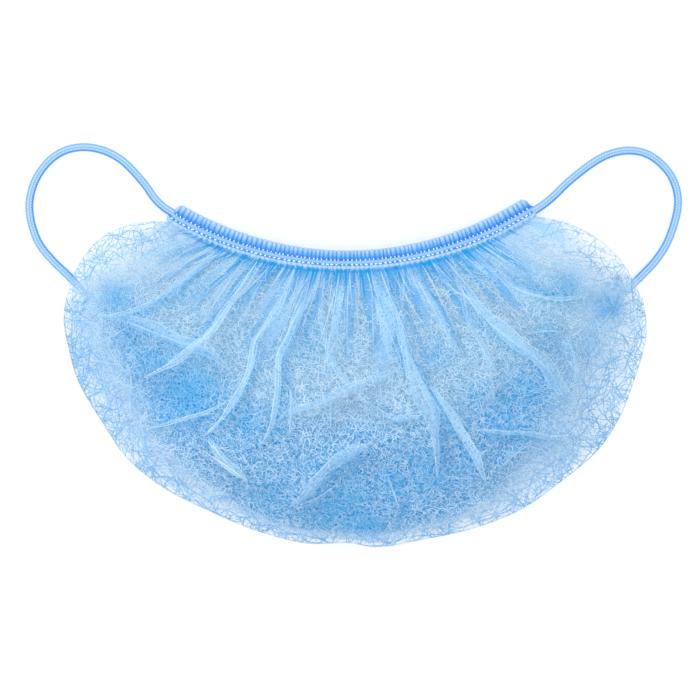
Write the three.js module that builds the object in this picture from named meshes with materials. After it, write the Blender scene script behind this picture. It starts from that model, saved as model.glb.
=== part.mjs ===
import * as THREE from "three";

// Disposable beard cover of sheer spunbond cloth, lying on its back on a table.
// X runs to the right, Y from the chin fold up to the front band, Z up off the table.
// All sizes are in millimetres and all angles in degrees.

const CLOTH_WALL = 1.2;
const PIECE_GAP = 0.3;
const CLOTH_COLOUR = 0x9fcdf0;
const BAND_COLOUR = 0x7fb9f5;
const ELASTIC_COLOUR = 0x86b8f7;

// Front band: a gathered elastic casing bent in a shallow arc, its middle lifted off the table.
const BAND_CENTRE_X = -3.0;
const BAND_CENTRE_Y = 170.1;
const BAND_RADIUS = 127.6;
const BAND_HALF_ANGLE = 32.1;
const BAND_TURN = 1.0;
const BAND_LOWER_EDGE = -4.1;
const BAND_END_HEIGHT = 1.25;
const BAND_MIDDLE_LIFT = 9.0;
const BAND_MIDDLE_TILT = 28;
const RIB_PITCH = 1.7;
const RIB_SCALLOP = 0.3;

// Section of the band from its rolled upper edge round to its back, on a rib and between two ribs.
const BAND_SECTION = [
  { across: 4.7, onRib: 0.0, between: 0.0 },
  { across: 3.8, onRib: 1.2, between: 0.75 },
  { across: 1.1, onRib: 1.2, between: 0.75 },
  { across: 0.3, onRib: 0.5, between: 0.5 },
  { across: -2.2, onRib: 0.9, between: 0.8 },
  { across: BAND_LOWER_EDGE, onRib: 0.85, between: 0.4 },
  { across: BAND_LOWER_EDGE, onRib: -0.6, between: -0.4 },
  { across: 3.8, onRib: -0.9, between: -0.7 },
];

// Back hem: the plain narrow edge of the mouth that lies flat on the table.
const HEM_CENTRE_X = -0.4;
const HEM_CENTRE_Y = 109.9;
const HEM_RADIUS = 128.7;
const HEM_HALF_ANGLE = 51.5;
const HEM_HALF_WIDTH = 2.0;
const HEM_HEIGHT = 0.8;
const HEM_STEPS = 28;
const HEM_SECTION = [
  { across: 2.0, onRib: 0.3, between: 0.3 },
  { across: 1.3, onRib: 0.8, between: 0.8 },
  { across: -1.3, onRib: 0.8, between: 0.8 },
  { across: -2.0, onRib: 0.3, between: 0.3 },
  { across: -2.0, onRib: -0.3, between: -0.3 },
  { across: -1.3, onRib: -0.8, between: -0.8 },
  { across: 1.3, onRib: -0.8, between: -0.8 },
  { across: 2.0, onRib: -0.3, between: -0.3 },
];

// Chin fold: the line where the front layer turns under, from the left side round to the right.
const CHIN_FOLD = [
  { x: -109.2, y: 29.3 },
  { x: -109.8, y: 20.0 },
  { x: -108.2, y: 11.0 },
  { x: -104.5, y: -2.0 },
  { x: -95.9, y: -16.9 },
  { x: -85.4, y: -32.0 },
  { x: -71.1, y: -43.2 },
  { x: -56.0, y: -50.8 },
  { x: -38.4, y: -58.3 },
  { x: -18.8, y: -63.4 },
  { x: -2.3, y: -63.4 },
  { x: 8.6, y: -64.9 },
  { x: 24.8, y: -62.2 },
  { x: 42.9, y: -58.3 },
  { x: 62.4, y: -50.8 },
  { x: 78.6, y: -39.5 },
  { x: 91.7, y: -28.2 },
  { x: 99.3, y: -16.9 },
  { x: 105.3, y: -1.9 },
  { x: 109.6, y: 13.2 },
  { x: 109.8, y: 20.0 },
  { x: 108.4, y: 29.3 },
];
const CHIN_FOLD_RADIUS = 2.6;
const CORNER_FOLD_RADIUS = 0.9;
const CORNER_REACH = 0.05;
const CHIN_FOLD_TURNS = [70, 15, -40];
const LAYER_GAP = 0.5;
const FAN_OUT = 0.075;
const LEFT_SHOULDER = 21.5;
const RIGHT_SHOULDER = 16.0;
const SHOULDER_REACH = 0.3;
const SHOULDER_LIFT = 3.4;

// How the front layer swells between the band and the chin fold, as shares of the way and of the height.
const SWELL_HEIGHT = 28;
const SWELL = [
  { along: 0.0, share: 0.0 },
  { along: 0.1, share: 0.3 },
  { along: 0.25, share: 0.7 },
  { along: 0.42, share: 0.96 },
  { along: 0.55, share: 1.0 },
  { along: 0.7, share: 0.86 },
  { along: 0.82, share: 0.58 },
  { along: 0.92, share: 0.26 },
  { along: 1.0, share: 0.0 },
];

// Short lip where the cloth leaves the band in line with it, and small gathers that die out below it.
const GATHERS = 20;
const GATHER_HEIGHT = 1.1;
const GATHER_REACH = 0.45;
const LIP_WIDTH = 1.2;

// Main folds (rise above zero) and dents (below zero) of the front layer, each from a start past a bend to an end.
const FOLDS = [
  { x0: -53, y0: 48, x1: -68, y1: 30, x2: -98, y2: 22, rise: 4.5, width: 6 },
  { x0: -83, y0: 21, x1: -64, y1: 10, x2: -45, y2: 1, rise: 3.5, width: 6 },
  { x0: -34, y0: 42, x1: -52, y1: 17, x2: -80, y2: -2, rise: 6.0, width: 6 },
  { x0: -27, y0: 40, x1: -35, y1: 13, x2: -56, y2: -23, rise: 5.5, width: 6 },
  { x0: -56, y0: -23, x1: -45, y1: -38, x2: -33, y2: -45, rise: 3.5, width: 6 },
  { x0: -21, y0: 37, x1: -28, y1: 8, x2: -35, y2: -27, rise: 5.0, width: 6 },
  { x0: -6, y0: 28, x1: -5, y1: 20, x2: -6, y2: 9, rise: 2.5, width: 6 },
  { x0: 18, y0: 34, x1: 20, y1: 4, x2: 30, y2: -46, rise: 5.5, width: 6 },
  { x0: 27, y0: -2, x1: 38, y1: -17, x2: 47, y2: -37, rise: 4.5, width: 6 },
  { x0: 37, y0: 40, x1: 52, y1: 14, x2: 88, y2: -18, rise: 6.0, width: 6 },
  { x0: 44, y0: 19, x1: 50, y1: 6, x2: 55, y2: -5, rise: 3.0, width: 6 },
  { x0: 58, y0: 39, x1: 68, y1: 30, x2: 90, y2: 30, rise: 3.5, width: 6 },
  { x0: 43, y0: -21, x1: 62, y1: -23, x2: 86, y2: -22, rise: 3.0, width: 6 },
  { x0: 8, y0: -24, x1: -9, y1: -33, x2: -24, y2: -49, rise: 4.0, width: 6 },
  { x0: -74, y0: -6, x1: -70, y1: -9, x2: -64, y2: -13, rise: -4.0, width: 11 },
  { x0: -6, y0: -11, x1: 9, y1: -22, x2: 16, y2: -47, rise: -4.0, width: 8 },
  { x0: 36, y0: -26, x1: 37, y1: -31, x2: 38, y2: -36, rise: -3.0, width: 8 },
];
const FOLD_SAMPLES = 14;

// Ear loops: knitted elastic laid on the table, each from its end of the band to its end of the hem.
const ELASTIC_WIDTH = 3.2;
const ELASTIC_THICKNESS = 2.0;
const ELASTIC_SIDES = 8;
const ELASTIC_STEPS = 20;
const LEFT_LOOP_ROUTE = [
  [-69.45, 61.15],
  [-71.9, 63.1],
  [-75.4, 66.4],
  [-79.7, 72.4],
  [-87.8, 80.8],
  [-94.8, 84.6],
  [-102.6, 85.9],
  [-109.8, 84.4],
  [-115.6, 80.4],
  [-120.7, 73.0],
  [-122.8, 63.2],
  [-119.8, 50.8],
  [-114.1, 43.2],
  [-108.3, 37.6],
  [-101.4, 30.1],
];
const RIGHT_LOOP_ROUTE = [
  [67.9, 62.45],
  [70.7, 64.0],
  [74.2, 66.8],
  [81.0, 73.3],
  [90.6, 80.6],
  [96.3, 83.4],
  [102.6, 84.6],
  [109.0, 83.7],
  [114.3, 80.6],
  [119.6, 74.2],
  [121.8, 65.0],
  [118.1, 50.8],
  [113.4, 43.2],
  [107.6, 37.0],
  [100.6, 30.1],
];

const COLUMNS = 78;
const FRONT_ROWS = 15;
const BACK_ROWS = 4;

const radians = THREE.MathUtils.degToRad;
const mix = THREE.MathUtils.lerp;

// Value at a place in a table whose rows step along from 0 to 1, eased between rows.
function tableValue(rows, along) {
  let after = 1;
  while (after < rows.length - 1 && rows[after].along < along) {
    after += 1;
  }
  const from = rows[after - 1];
  const to = rows[after];
  const part = THREE.MathUtils.clamp((along - from.along) / (to.along - from.along), 0, 1);
  return mix(from.share, to.share, part);
}

// Point of the front band at a share of its length and a distance across its face, upper edge positive.
function bandPoint(share, across, rise) {
  const angle = radians(mix(-BAND_HALF_ANGLE, BAND_HALF_ANGLE, share) + BAND_TURN);
  const bow = Math.sin(Math.PI * THREE.MathUtils.clamp(share, 0, 1));
  const tilt = radians(BAND_MIDDLE_TILT * bow);
  const towardsCentre = across * Math.cos(tilt) + rise * Math.sin(tilt);
  const radius = BAND_RADIUS - towardsCentre;
  const height = BAND_END_HEIGHT + BAND_MIDDLE_LIFT * bow - across * Math.sin(tilt) + rise * Math.cos(tilt);
  return new THREE.Vector3(
    BAND_CENTRE_X + radius * Math.sin(angle),
    BAND_CENTRE_Y - radius * Math.cos(angle),
    height,
  );
}

// Point of the back hem at a share of its length and a distance across it, mouth side positive.
function hemPoint(share, across, rise) {
  const angle = radians(mix(-HEM_HALF_ANGLE, HEM_HALF_ANGLE, share));
  const radius = HEM_RADIUS - across;
  return new THREE.Vector3(
    HEM_CENTRE_X + radius * Math.sin(angle),
    HEM_CENTRE_Y - radius * Math.cos(angle),
    HEM_HEIGHT + rise,
  );
}

// Closed mesh of a strip whose section changes from rib to gap along its length.
function stripGeometry(pointAt, section, steps, scallop) {
  const positions = [];
  const faces = [];
  const sides = section.length;
  for (let step = 0; step <= steps; step += 1) {
    const onRib = step % 2;
    for (const corner of section) {
      const edge = corner.onRib === 0 && !onRib ? scallop : 0;
      const rise = onRib ? corner.onRib : corner.between;
      const point = pointAt(step / steps, corner.across - edge, rise);
      positions.push(point.x, point.y, point.z);
    }
  }
  for (let step = 0; step < steps; step += 1) {
    for (let side = 0; side < sides; side += 1) {
      const next = (side + 1) % sides;
      const a = step * sides + side;
      const b = step * sides + next;
      const c = a + sides;
      const d = b + sides;
      faces.push(a, b, c, b, d, c);
    }
  }
  for (const end of [0, steps]) {
    const middle = pointAt(end / steps, 0, 0);
    const hub = positions.length / 3;
    positions.push(middle.x, middle.y, middle.z);
    for (let side = 0; side < sides; side += 1) {
      const a = end * sides + side;
      const b = end * sides + ((side + 1) % sides);
      faces.push(...(end === 0 ? [hub, b, a] : [hub, a, b]));
    }
  }
  return closedGeometry(positions, faces);
}

function closedGeometry(positions, faces) {
  const geometry = new THREE.BufferGeometry();
  geometry.setAttribute("position", new THREE.Float32BufferAttribute(positions, 3));
  geometry.setIndex(faces);
  geometry.computeVertexNormals();
  return geometry;
}

const chinFold = new THREE.CatmullRomCurve3(CHIN_FOLD.map((row) => new THREE.Vector3(row.x, row.y, 0)));
chinFold.arcLengthDivisions = 800;

// Lines of the folds, sampled once.
const foldLines = FOLDS.map((fold) => {
  const curve = new THREE.QuadraticBezierCurve(
    new THREE.Vector2(fold.x0, fold.y0),
    new THREE.Vector2(fold.x1, fold.y1),
    new THREE.Vector2(fold.x2, fold.y2),
  );
  return { ...fold, points: curve.getPoints(FOLD_SAMPLES) };
});

// Rise of all folds at a place of the front layer: a rounded ridge that tapers at both ends of its line.
function foldRise(x, y) {
  let rise = 0;
  for (const fold of foldLines) {
    let nearest = Infinity;
    let place = 0;
    fold.points.forEach((point, index) => {
      const distance = Math.hypot(point.x - x, point.y - y);
      if (distance < nearest) {
        nearest = distance;
        place = index / FOLD_SAMPLES;
      }
    });
    const taper = Math.min(1, 4 * Math.min(place, 1 - place) + 0.35);
    rise += fold.rise * taper * Math.exp(-((nearest / fold.width) ** 2));
  }
  return rise;
}

// Column of the pouch's middle surface: the front layer comes down from the band and round the chin fold,
// and the back layer starts just past the fold and lies on the table up to the hem.
function clothColumn(across) {
  const front = [];
  const back = [];
  const share = mix(0.012, 0.988, across);
  const lip = bandPoint(share, BAND_LOWER_EDGE - PIECE_GAP, 0.15);
  const start = bandPoint(share, BAND_LOWER_EDGE - PIECE_GAP - LIP_WIDTH, 0.15);
  front.push(lip);
  const foldShare = across - FAN_OUT * Math.sin(2 * Math.PI * across);
  const edge = chinFold.getPointAt(foldShare);
  const tangent = chinFold.getTangentAt(foldShare);
  const inward = new THREE.Vector3(-tangent.y, tangent.x, 0);
  const nearEnd = Math.min(across, 1 - across);
  const foldRadius = mix(CORNER_FOLD_RADIUS, CHIN_FOLD_RADIUS, Math.min(1, nearEnd / CORNER_REACH));
  const turnPoint = (turn) => {
    const angle = radians(turn);
    const inset = foldRadius * (1 - Math.cos(angle));
    const point = edge.clone().addScaledVector(inward, inset);
    point.z = CLOTH_WALL / 2 + foldRadius * (1 + Math.sin(angle));
    return point;
  };

  const end = turnPoint(CHIN_FOLD_TURNS[0]);
  const chord = new THREE.Vector3(end.x - start.x, end.y - start.y, 0).normalize();
  const bulge = across < 0.5 ? LEFT_SHOULDER : -RIGHT_SHOULDER;
  const bulgeShare = Math.max(0, 1 - nearEnd / SHOULDER_REACH) ** 1.5;
  const side = new THREE.Vector3(chord.y, -chord.x, 0).multiplyScalar(bulge * bulgeShare);
  const bend = start.clone().lerp(end, 0.5).add(side);
  const swell = SHOULDER_LIFT + (SWELL_HEIGHT - SHOULDER_LIFT) * Math.sin(Math.PI * across) ** 0.8;
  const inside = Math.min(1, nearEnd / 0.06);
  for (let row = 0; row < FRONT_ROWS; row += 1) {
    const along = row / FRONT_ROWS;
    const rest = 1 - along;
    const x = rest * rest * start.x + 2 * rest * along * bend.x + along * along * end.x;
    const y = rest * rest * start.y + 2 * rest * along * bend.y + along * along * end.y;
    const gatherFade = Math.min(1, along / 0.06) * Math.max(0, 1 - along / GATHER_REACH) ** 1.5;
    const gather = GATHER_HEIGHT * Math.cos(2 * Math.PI * GATHERS * across) * gatherFade;
    const foldFade = Math.min(1, along / 0.12, rest / 0.15) * inside;
    const swollen = swell * tableValue(SWELL, along);
    const z = mix(start.z, end.z, along) + swollen + gather * inside + foldFade * foldRise(x, y);
    front.push(new THREE.Vector3(x, y, z));
  }

  const lastTurn = -90 + THREE.MathUtils.radToDeg(LAYER_GAP / foldRadius);
  for (const turn of [...CHIN_FOLD_TURNS, lastTurn]) {
    front.push(turnPoint(turn));
  }
  const flatStart = turnPoint(-90);
  const hemShare = mix(0.01, 0.99, across);
  const hemEdge = hemPoint(hemShare, -HEM_HALF_WIDTH - PIECE_GAP, 0);
  hemEdge.z = CLOTH_WALL / 2;
  for (let row = 0; row <= BACK_ROWS; row += 1) {
    back.push(flatStart.clone().lerp(hemEdge, row / BACK_ROWS));
  }
  return { front, back };
}

// Closed shell of even wall thickness about a grid of points.
function shellGeometry(columns, wall) {
  const count = columns.length;
  const rows = columns[0].length;
  const positions = [];
  const faces = [];
  const along = new THREE.Vector3();
  const across = new THREE.Vector3();
  for (const sign of [1, -1]) {
    for (let column = 0; column < count; column += 1) {
      for (let row = 0; row < rows; row += 1) {
        const point = columns[column][row];
        along.subVectors(
          columns[column][Math.min(row + 1, rows - 1)],
          columns[column][Math.max(row - 1, 0)],
        );
        across.subVectors(
          columns[Math.min(column + 1, count - 1)][row],
          columns[Math.max(column - 1, 0)][row],
        );
        const normal = across.clone().cross(along).normalize().multiplyScalar(-sign * wall * 0.5);
        positions.push(point.x + normal.x, point.y + normal.y, point.z + normal.z);
      }
    }
  }
  const inner = count * rows;
  const outerAt = (column, row) => column * rows + row;
  const innerAt = (column, row) => inner + column * rows + row;
  for (let column = 0; column < count - 1; column += 1) {
    for (let row = 0; row < rows - 1; row += 1) {
      const [a, b] = [outerAt(column, row), outerAt(column, row + 1)];
      const [c, d] = [outerAt(column + 1, row), outerAt(column + 1, row + 1)];
      faces.push(a, b, c, b, d, c);
      faces.push(a + inner, c + inner, b + inner, b + inner, c + inner, d + inner);
    }
  }
  const rim = [];
  for (let column = 0; column < count - 1; column += 1) {
    rim.push([column, 0]);
  }
  for (let row = 0; row < rows - 1; row += 1) {
    rim.push([count - 1, row]);
  }
  for (let column = count - 1; column > 0; column -= 1) {
    rim.push([column, rows - 1]);
  }
  for (let row = rows - 1; row > 0; row -= 1) {
    rim.push([0, row]);
  }
  rim.forEach((spot, index) => {
    const next = rim[(index + 1) % rim.length];
    const [a, b] = [outerAt(...spot), outerAt(...next)];
    const [c, d] = [innerAt(...spot), innerAt(...next)];
    faces.push(a, b, c, b, d, c);
  });
  return closedGeometry(positions, faces);
}

// Elastic of an ear loop: an eight-sided oval tube along its route on the table.
function loopGeometry(route) {
  const points = route.map(([x, y]) => new THREE.Vector3(x, y, ELASTIC_THICKNESS / 2));
  const path = new THREE.CatmullRomCurve3(points, false, "centripetal");
  const oval = new THREE.Shape();
  const outline = [];
  for (let side = 0; side < ELASTIC_SIDES; side += 1) {
    const angle = ((side + 0.5) * 2 * Math.PI) / ELASTIC_SIDES;
    const flat = Math.cos(Math.PI / ELASTIC_SIDES);
    const high = (ELASTIC_THICKNESS / 2 / flat) * Math.cos(angle);
    const wide = (ELASTIC_WIDTH / 2 / flat) * Math.sin(angle);
    outline.push(new THREE.Vector2(high, wide));
  }
  oval.setFromPoints(outline);
  return new THREE.ExtrudeGeometry(oval, { steps: ELASTIC_STEPS, extrudePath: path });
}

const clothMaterial = new THREE.MeshStandardMaterial({
  color: CLOTH_COLOUR,
  roughness: 0.9,
  metalness: 0,
});
const bandMaterial = new THREE.MeshStandardMaterial({
  color: BAND_COLOUR,
  roughness: 0.85,
  metalness: 0,
});
const elasticMaterial = new THREE.MeshStandardMaterial({
  color: ELASTIC_COLOUR,
  roughness: 0.8,
  metalness: 0,
});

const group = new THREE.Group();

function addPiece(name, geometry, material) {
  const mesh = new THREE.Mesh(geometry, material);
  mesh.name = name;
  group.add(mesh);
}

const columns = [];
for (let column = 0; column <= COLUMNS; column += 1) {
  columns.push(clothColumn(column / COLUMNS));
}
for (const layer of ["front", "back"]) {
  const grid = columns.map((column) => column[layer]);
  addPiece(`pouch_${layer}`, shellGeometry(grid, CLOTH_WALL), clothMaterial);
}

const bandLength = BAND_RADIUS * radians(2 * BAND_HALF_ANGLE);
const ribSteps = 2 * Math.round(bandLength / RIB_PITCH);
addPiece("front_band", stripGeometry(bandPoint, BAND_SECTION, ribSteps, RIB_SCALLOP), bandMaterial);
addPiece("back_hem", stripGeometry(hemPoint, HEM_SECTION, HEM_STEPS, 0), bandMaterial);
addPiece("ear_loop_left", loopGeometry(LEFT_LOOP_ROUTE), elasticMaterial);
addPiece("ear_loop_right", loopGeometry(RIGHT_LOOP_ROUTE), elasticMaterial);

export default group;
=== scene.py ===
import math

import bpy
import numpy as np
from mathutils.bvhtree import BVHTree
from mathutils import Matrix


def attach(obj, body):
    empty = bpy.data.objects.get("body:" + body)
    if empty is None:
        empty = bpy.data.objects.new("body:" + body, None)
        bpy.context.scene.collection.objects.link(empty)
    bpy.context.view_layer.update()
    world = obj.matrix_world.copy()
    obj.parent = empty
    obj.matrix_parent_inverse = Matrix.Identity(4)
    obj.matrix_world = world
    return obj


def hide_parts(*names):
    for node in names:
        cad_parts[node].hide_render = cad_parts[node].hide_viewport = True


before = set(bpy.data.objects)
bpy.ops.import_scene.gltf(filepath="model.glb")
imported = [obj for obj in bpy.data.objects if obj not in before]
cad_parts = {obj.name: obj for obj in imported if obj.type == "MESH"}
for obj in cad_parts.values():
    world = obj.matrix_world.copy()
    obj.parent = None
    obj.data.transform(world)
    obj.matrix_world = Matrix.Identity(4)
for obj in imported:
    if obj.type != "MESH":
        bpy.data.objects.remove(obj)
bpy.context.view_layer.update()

# Studio: the cover lies on a plain white table and is seen from straight above.
# A white room and one broad soft lamp light it evenly, as for a catalogue picture.
# The sizes of this section are in metres.
PICTURE_WIDTH = 0.2632
PICTURE_CENTRE = (-0.0019, 0.0094)
PICTURE_LEVEL = 0.008
CAMERA_HEIGHT = 2.6
SENSOR_WIDTH = 36.0
TABLE_SIDE = 6.0
TABLE_DROP = -0.0003
ROOM_LIGHT = 0.82
LAMP_PLACE = (-0.45, 0.35, 1.6)
LAMP_SIDE = 1.1
LAMP_POWER = 14.0


def set_inputs(tree, node, inputs):
    """Sets the inputs of a node by their names, or links them where a value is another node's output."""
    for name, value in inputs.items():
        if isinstance(value, bpy.types.NodeSocket):
            tree.links.new(value, node.inputs[name])
        else:
            node.inputs[name].default_value = value


def add(tree, kind, inputs=None, **settings):
    """Adds a shader node with its settings and inputs."""
    made = tree.nodes.new("ShaderNode" + kind)
    for name, value in settings.items():
        setattr(made, name, value)
    set_inputs(tree, made, inputs or {})
    return made


def ranged(tree, value, low, high, start=0.0, end=1.0):
    """A value that runs from start to end, moved to run from low to high and held between them."""
    inputs = {"Value": value, "From Min": start, "From Max": end, "To Min": low, "To Max": high}
    return add(tree, "MapRange", inputs).outputs["Result"]


def paint(red, green, blue):
    """Scene colour of a picture colour given from 0 to 255."""
    shares = np.array([red, green, blue]) / 255
    low = shares / 12.92
    high = ((shares + 0.055) / 1.055) ** 2.4
    return (*np.where(shares <= 0.04045, low, high).tolist(), 1.0)


def new_material(name):
    """A material with an empty Principled shader; gives the material, its tree and the shader."""
    material = bpy.data.materials.new(name)
    material.use_nodes = True
    tree = material.node_tree
    return material, tree, tree.nodes["Principled BSDF"]


def table_material():
    material, tree, shader = new_material("white_table")
    speckle = add(tree, "TexNoise", {"Scale": 900.0, "Detail": 2.0})
    set_inputs(tree, shader, {
        "Base Color": ranged(tree, speckle.outputs["Fac"], 0.96, 0.98),
        "Roughness": 0.9,
        "Specular IOR Level": 0.1,
    })
    return material


scene = bpy.context.scene
camera_lens = bpy.data.cameras.new("camera")
camera_lens.sensor_width = SENSOR_WIDTH
camera_lens.lens = SENSOR_WIDTH * (CAMERA_HEIGHT - PICTURE_LEVEL) / PICTURE_WIDTH
camera = bpy.data.objects.new("camera", camera_lens)
camera.location = (*PICTURE_CENTRE, CAMERA_HEIGHT)
scene.collection.objects.link(camera)
scene.camera = camera
scene.view_settings.view_transform = "Standard"
scene.cycles.transparent_max_bounces = 24

room = bpy.data.worlds.new("white_room")
room.use_nodes = True
room.node_tree.nodes["Background"].inputs["Color"].default_value = (1.0, 1.0, 1.0, 1.0)
room.node_tree.nodes["Background"].inputs["Strength"].default_value = ROOM_LIGHT
scene.world = room

lamp_light = bpy.data.lights.new("lamp", "AREA")
lamp_light.size = LAMP_SIDE
lamp_light.energy = LAMP_POWER
lamp = bpy.data.objects.new("lamp", lamp_light)
lamp.location = LAMP_PLACE
lamp.rotation_euler = lamp.location.to_track_quat("Z", "Y").to_euler()
scene.collection.objects.link(lamp)

half = TABLE_SIDE / 2
table_mesh = bpy.data.meshes.new("table")
corners = [(x * half, y * half, TABLE_DROP) for x, y in ((-1, -1), (1, -1), (1, 1), (-1, 1))]
table_mesh.from_pydata(corners, [], [(0, 1, 2, 3)])
table_mesh.materials.append(table_material())
table = bpy.data.objects.new("table", table_mesh)
scene.collection.objects.link(table)

# Ear loops: two lengths of knitted elastic, 3.2 mm wide and 2 mm thick, that hook over the ears.
# Each is caught in its end of the front band, lies in a loop on the table and goes under the sheer
# cloth to its end of the back hem, where it is sewn down. From here on, sizes are in millimetres.
MM = 0.001
ELASTIC_WIDTH = 3.2
ELASTIC_THICKNESS = 2.0
ELASTIC_STEP = 0.3
ELASTIC_SIDES = 36
WALES = 8
WALE_RELIEF = 0.16
KNIT_PITCH = 1.1
KNIT_RELIEF = 0.10
# The end under the cloth is pressed flat over one length, and shows the cloth's paler colour over another.
LOOP_PRESSED = 9.0
LOOP_PRESSED_SHARE = 0.42
LOOP_WRAPPED = 8.5
# Tones of the elastic: painted light on its top, a middle tone, painted shade at its sides and in its
# grooves.
ELASTIC_PAINTED_LIGHT = paint(182, 212, 246)
ELASTIC_MIDDLE = paint(120, 176, 241)
ELASTIC_PAINTED_SHADE = paint(48, 136, 230)
ELASTIC_WRAP = paint(206, 229, 250)
LEFT_LOOP_ROUTE = [
    (-65.5, 59.0), (-68.3, 60.8), (-71.9, 63.1), (-75.4, 66.4), (-79.7, 72.4), (-87.8, 80.8),
    (-94.8, 84.6), (-102.6, 85.9), (-109.8, 84.4), (-115.6, 80.4), (-120.7, 73.0), (-122.8, 63.2),
    (-119.8, 50.8), (-114.1, 43.2), (-108.3, 37.6), (-101.4, 30.1),
]
RIGHT_LOOP_ROUTE = [
    (64.5, 60.4), (67.6, 62.0), (70.7, 64.0), (74.2, 66.8), (81.0, 73.3), (90.6, 80.6),
    (96.3, 83.4), (102.6, 84.6), (109.0, 83.7), (114.3, 80.6), (119.6, 74.2), (121.8, 65.0),
    (118.1, 50.8), (113.4, 43.2), (107.6, 37.0), (100.6, 30.1),
]


def smooth_line(points, step):
    """Even points, about one step apart, along a smooth curve through a few given points."""
    points = np.asarray(points, float)
    knots = np.vstack([2 * points[0] - points[1], points, 2 * points[-1] - points[-2]])
    gaps = np.linalg.norm(np.diff(knots, axis=0), axis=1) ** 0.5
    t = np.linspace(0, 1, 25)[:-1, None]
    runs = []
    for i in range(1, len(knots) - 2):
        before, start, end, after = knots[i - 1:i + 3]
        gap_before, gap, gap_after = gaps[i - 1:i + 2]
        chord = (end - start) / gap
        leave = (start - before) / gap_before - (end - before) / (gap_before + gap) + chord
        arrive = chord - (after - start) / (gap + gap_after) + (after - end) / gap_after
        runs.append(
            (2 * t**3 - 3 * t**2 + 1) * start
            + (t**3 - 2 * t**2 + t) * leave * gap
            + (3 * t**2 - 2 * t**3) * end
            + (t**3 - t**2) * arrive * gap
        )
    fine = np.vstack(runs + [points[-1:]])
    run = np.concatenate([[0.0], np.cumsum(np.linalg.norm(np.diff(fine, axis=0), axis=1))])
    even = np.linspace(0, run[-1], max(2, round(run[-1] / step) + 1))
    return np.column_stack([np.interp(even, run, fine[:, axis]) for axis in range(fine.shape[1])])


def left_of(line):
    """Directions to the left of a line at each of its points."""
    ahead = np.gradient(line, axis=0)
    ahead /= np.linalg.norm(ahead, axis=1, keepdims=True)
    return np.column_stack([-ahead[:, 1], ahead[:, 0]])


def grid_faces(rows, columns, closed=False):
    """Corner numbers of the four-sided faces of a grid of points, stored row after row."""
    row = np.arange(rows - 1)[:, None] * columns
    column = np.arange(columns if closed else columns - 1)[None, :]
    after = (column + 1) % columns
    corners = [row + column, row + after, row + columns + after, row + columns + column]
    return np.stack(corners, axis=-1).reshape(-1, 4)


def tube_faces(rings, sides):
    """Faces of a tube made of rings of points, with a cap at each end."""
    faces = grid_faces(rings, sides, closed=True)[:, ::-1].tolist()
    faces.append(list(range(sides)))
    faces.append([(rings - 1) * sides + k for k in reversed(range(sides))])
    return faces


def mesh_piece(name, points, faces, material, **values):
    """Smooth mesh object from points in millimetres, with named values at its points for the material."""
    mesh = bpy.data.meshes.new(name)
    mesh.from_pydata((np.asarray(points) * MM).tolist(), [], faces)
    for label, value in values.items():
        attribute = mesh.attributes.new(label, "FLOAT", "POINT")
        attribute.data.foreach_set("value", np.ravel(value).astype(np.float32))
    mesh.shade_smooth()
    mesh.materials.append(material)
    piece = bpy.data.objects.new(name, mesh)
    scene.collection.objects.link(piece)
    return piece


def point_value(tree, name):
    """A value that is stored at the points of a mesh."""
    return add(tree, "Attribute", attribute_name=name).outputs["Fac"]


def calc(tree, operation, *values, clamped=False):
    """Result of a calculation on numbers or on results of other nodes."""
    inputs = dict(enumerate(values))
    return add(tree, "Math", inputs, operation=operation, use_clamp=clamped).outputs["Value"]


def blend(tree, share, first, second):
    """Colour that goes from the first to the second with a share from 0 to 1."""
    return add(tree, "Mix", {"Factor": share, "A": first, "B": second}, data_type="RGBA").outputs["Result"]


def tone_ramp(tree, level, tones):
    """Colour of a level on a ramp through three tones, each given with its place."""
    ramp = add(tree, "ValToRGB", {"Fac": level})
    elements = ramp.color_ramp.elements
    for element, (place, colour) in zip((elements[0], elements[1]), (tones[0], tones[2])):
        element.color = colour
        element.position = place
    middle_place, middle_colour = tones[1]
    elements.new(middle_place).color = middle_colour
    return ramp.outputs["Color"]


def elastic_material():
    material, tree, shader = new_material("knitted_elastic")
    speckle = add(tree, "TexNoise", {"Scale": 2600.0, "Detail": 1.0})
    shift = ranged(tree, speckle.outputs["Fac"], -0.25, 0.25)
    # Painted light and shade of the knit, spread by a fine speckle.
    level = calc(tree, "ADD", point_value(tree, "tone"), shift)
    knit = tone_ramp(tree, level, [(0.12, ELASTIC_PAINTED_SHADE), (0.45, ELASTIC_MIDDLE), (0.85, ELASTIC_PAINTED_LIGHT)])
    colour = blend(tree, point_value(tree, "wrapped"), knit, ELASTIC_WRAP)
    set_inputs(tree, shader, {"Base Color": colour, "Roughness": 0.7, "Sheen Weight": 0.15})
    return material


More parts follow.
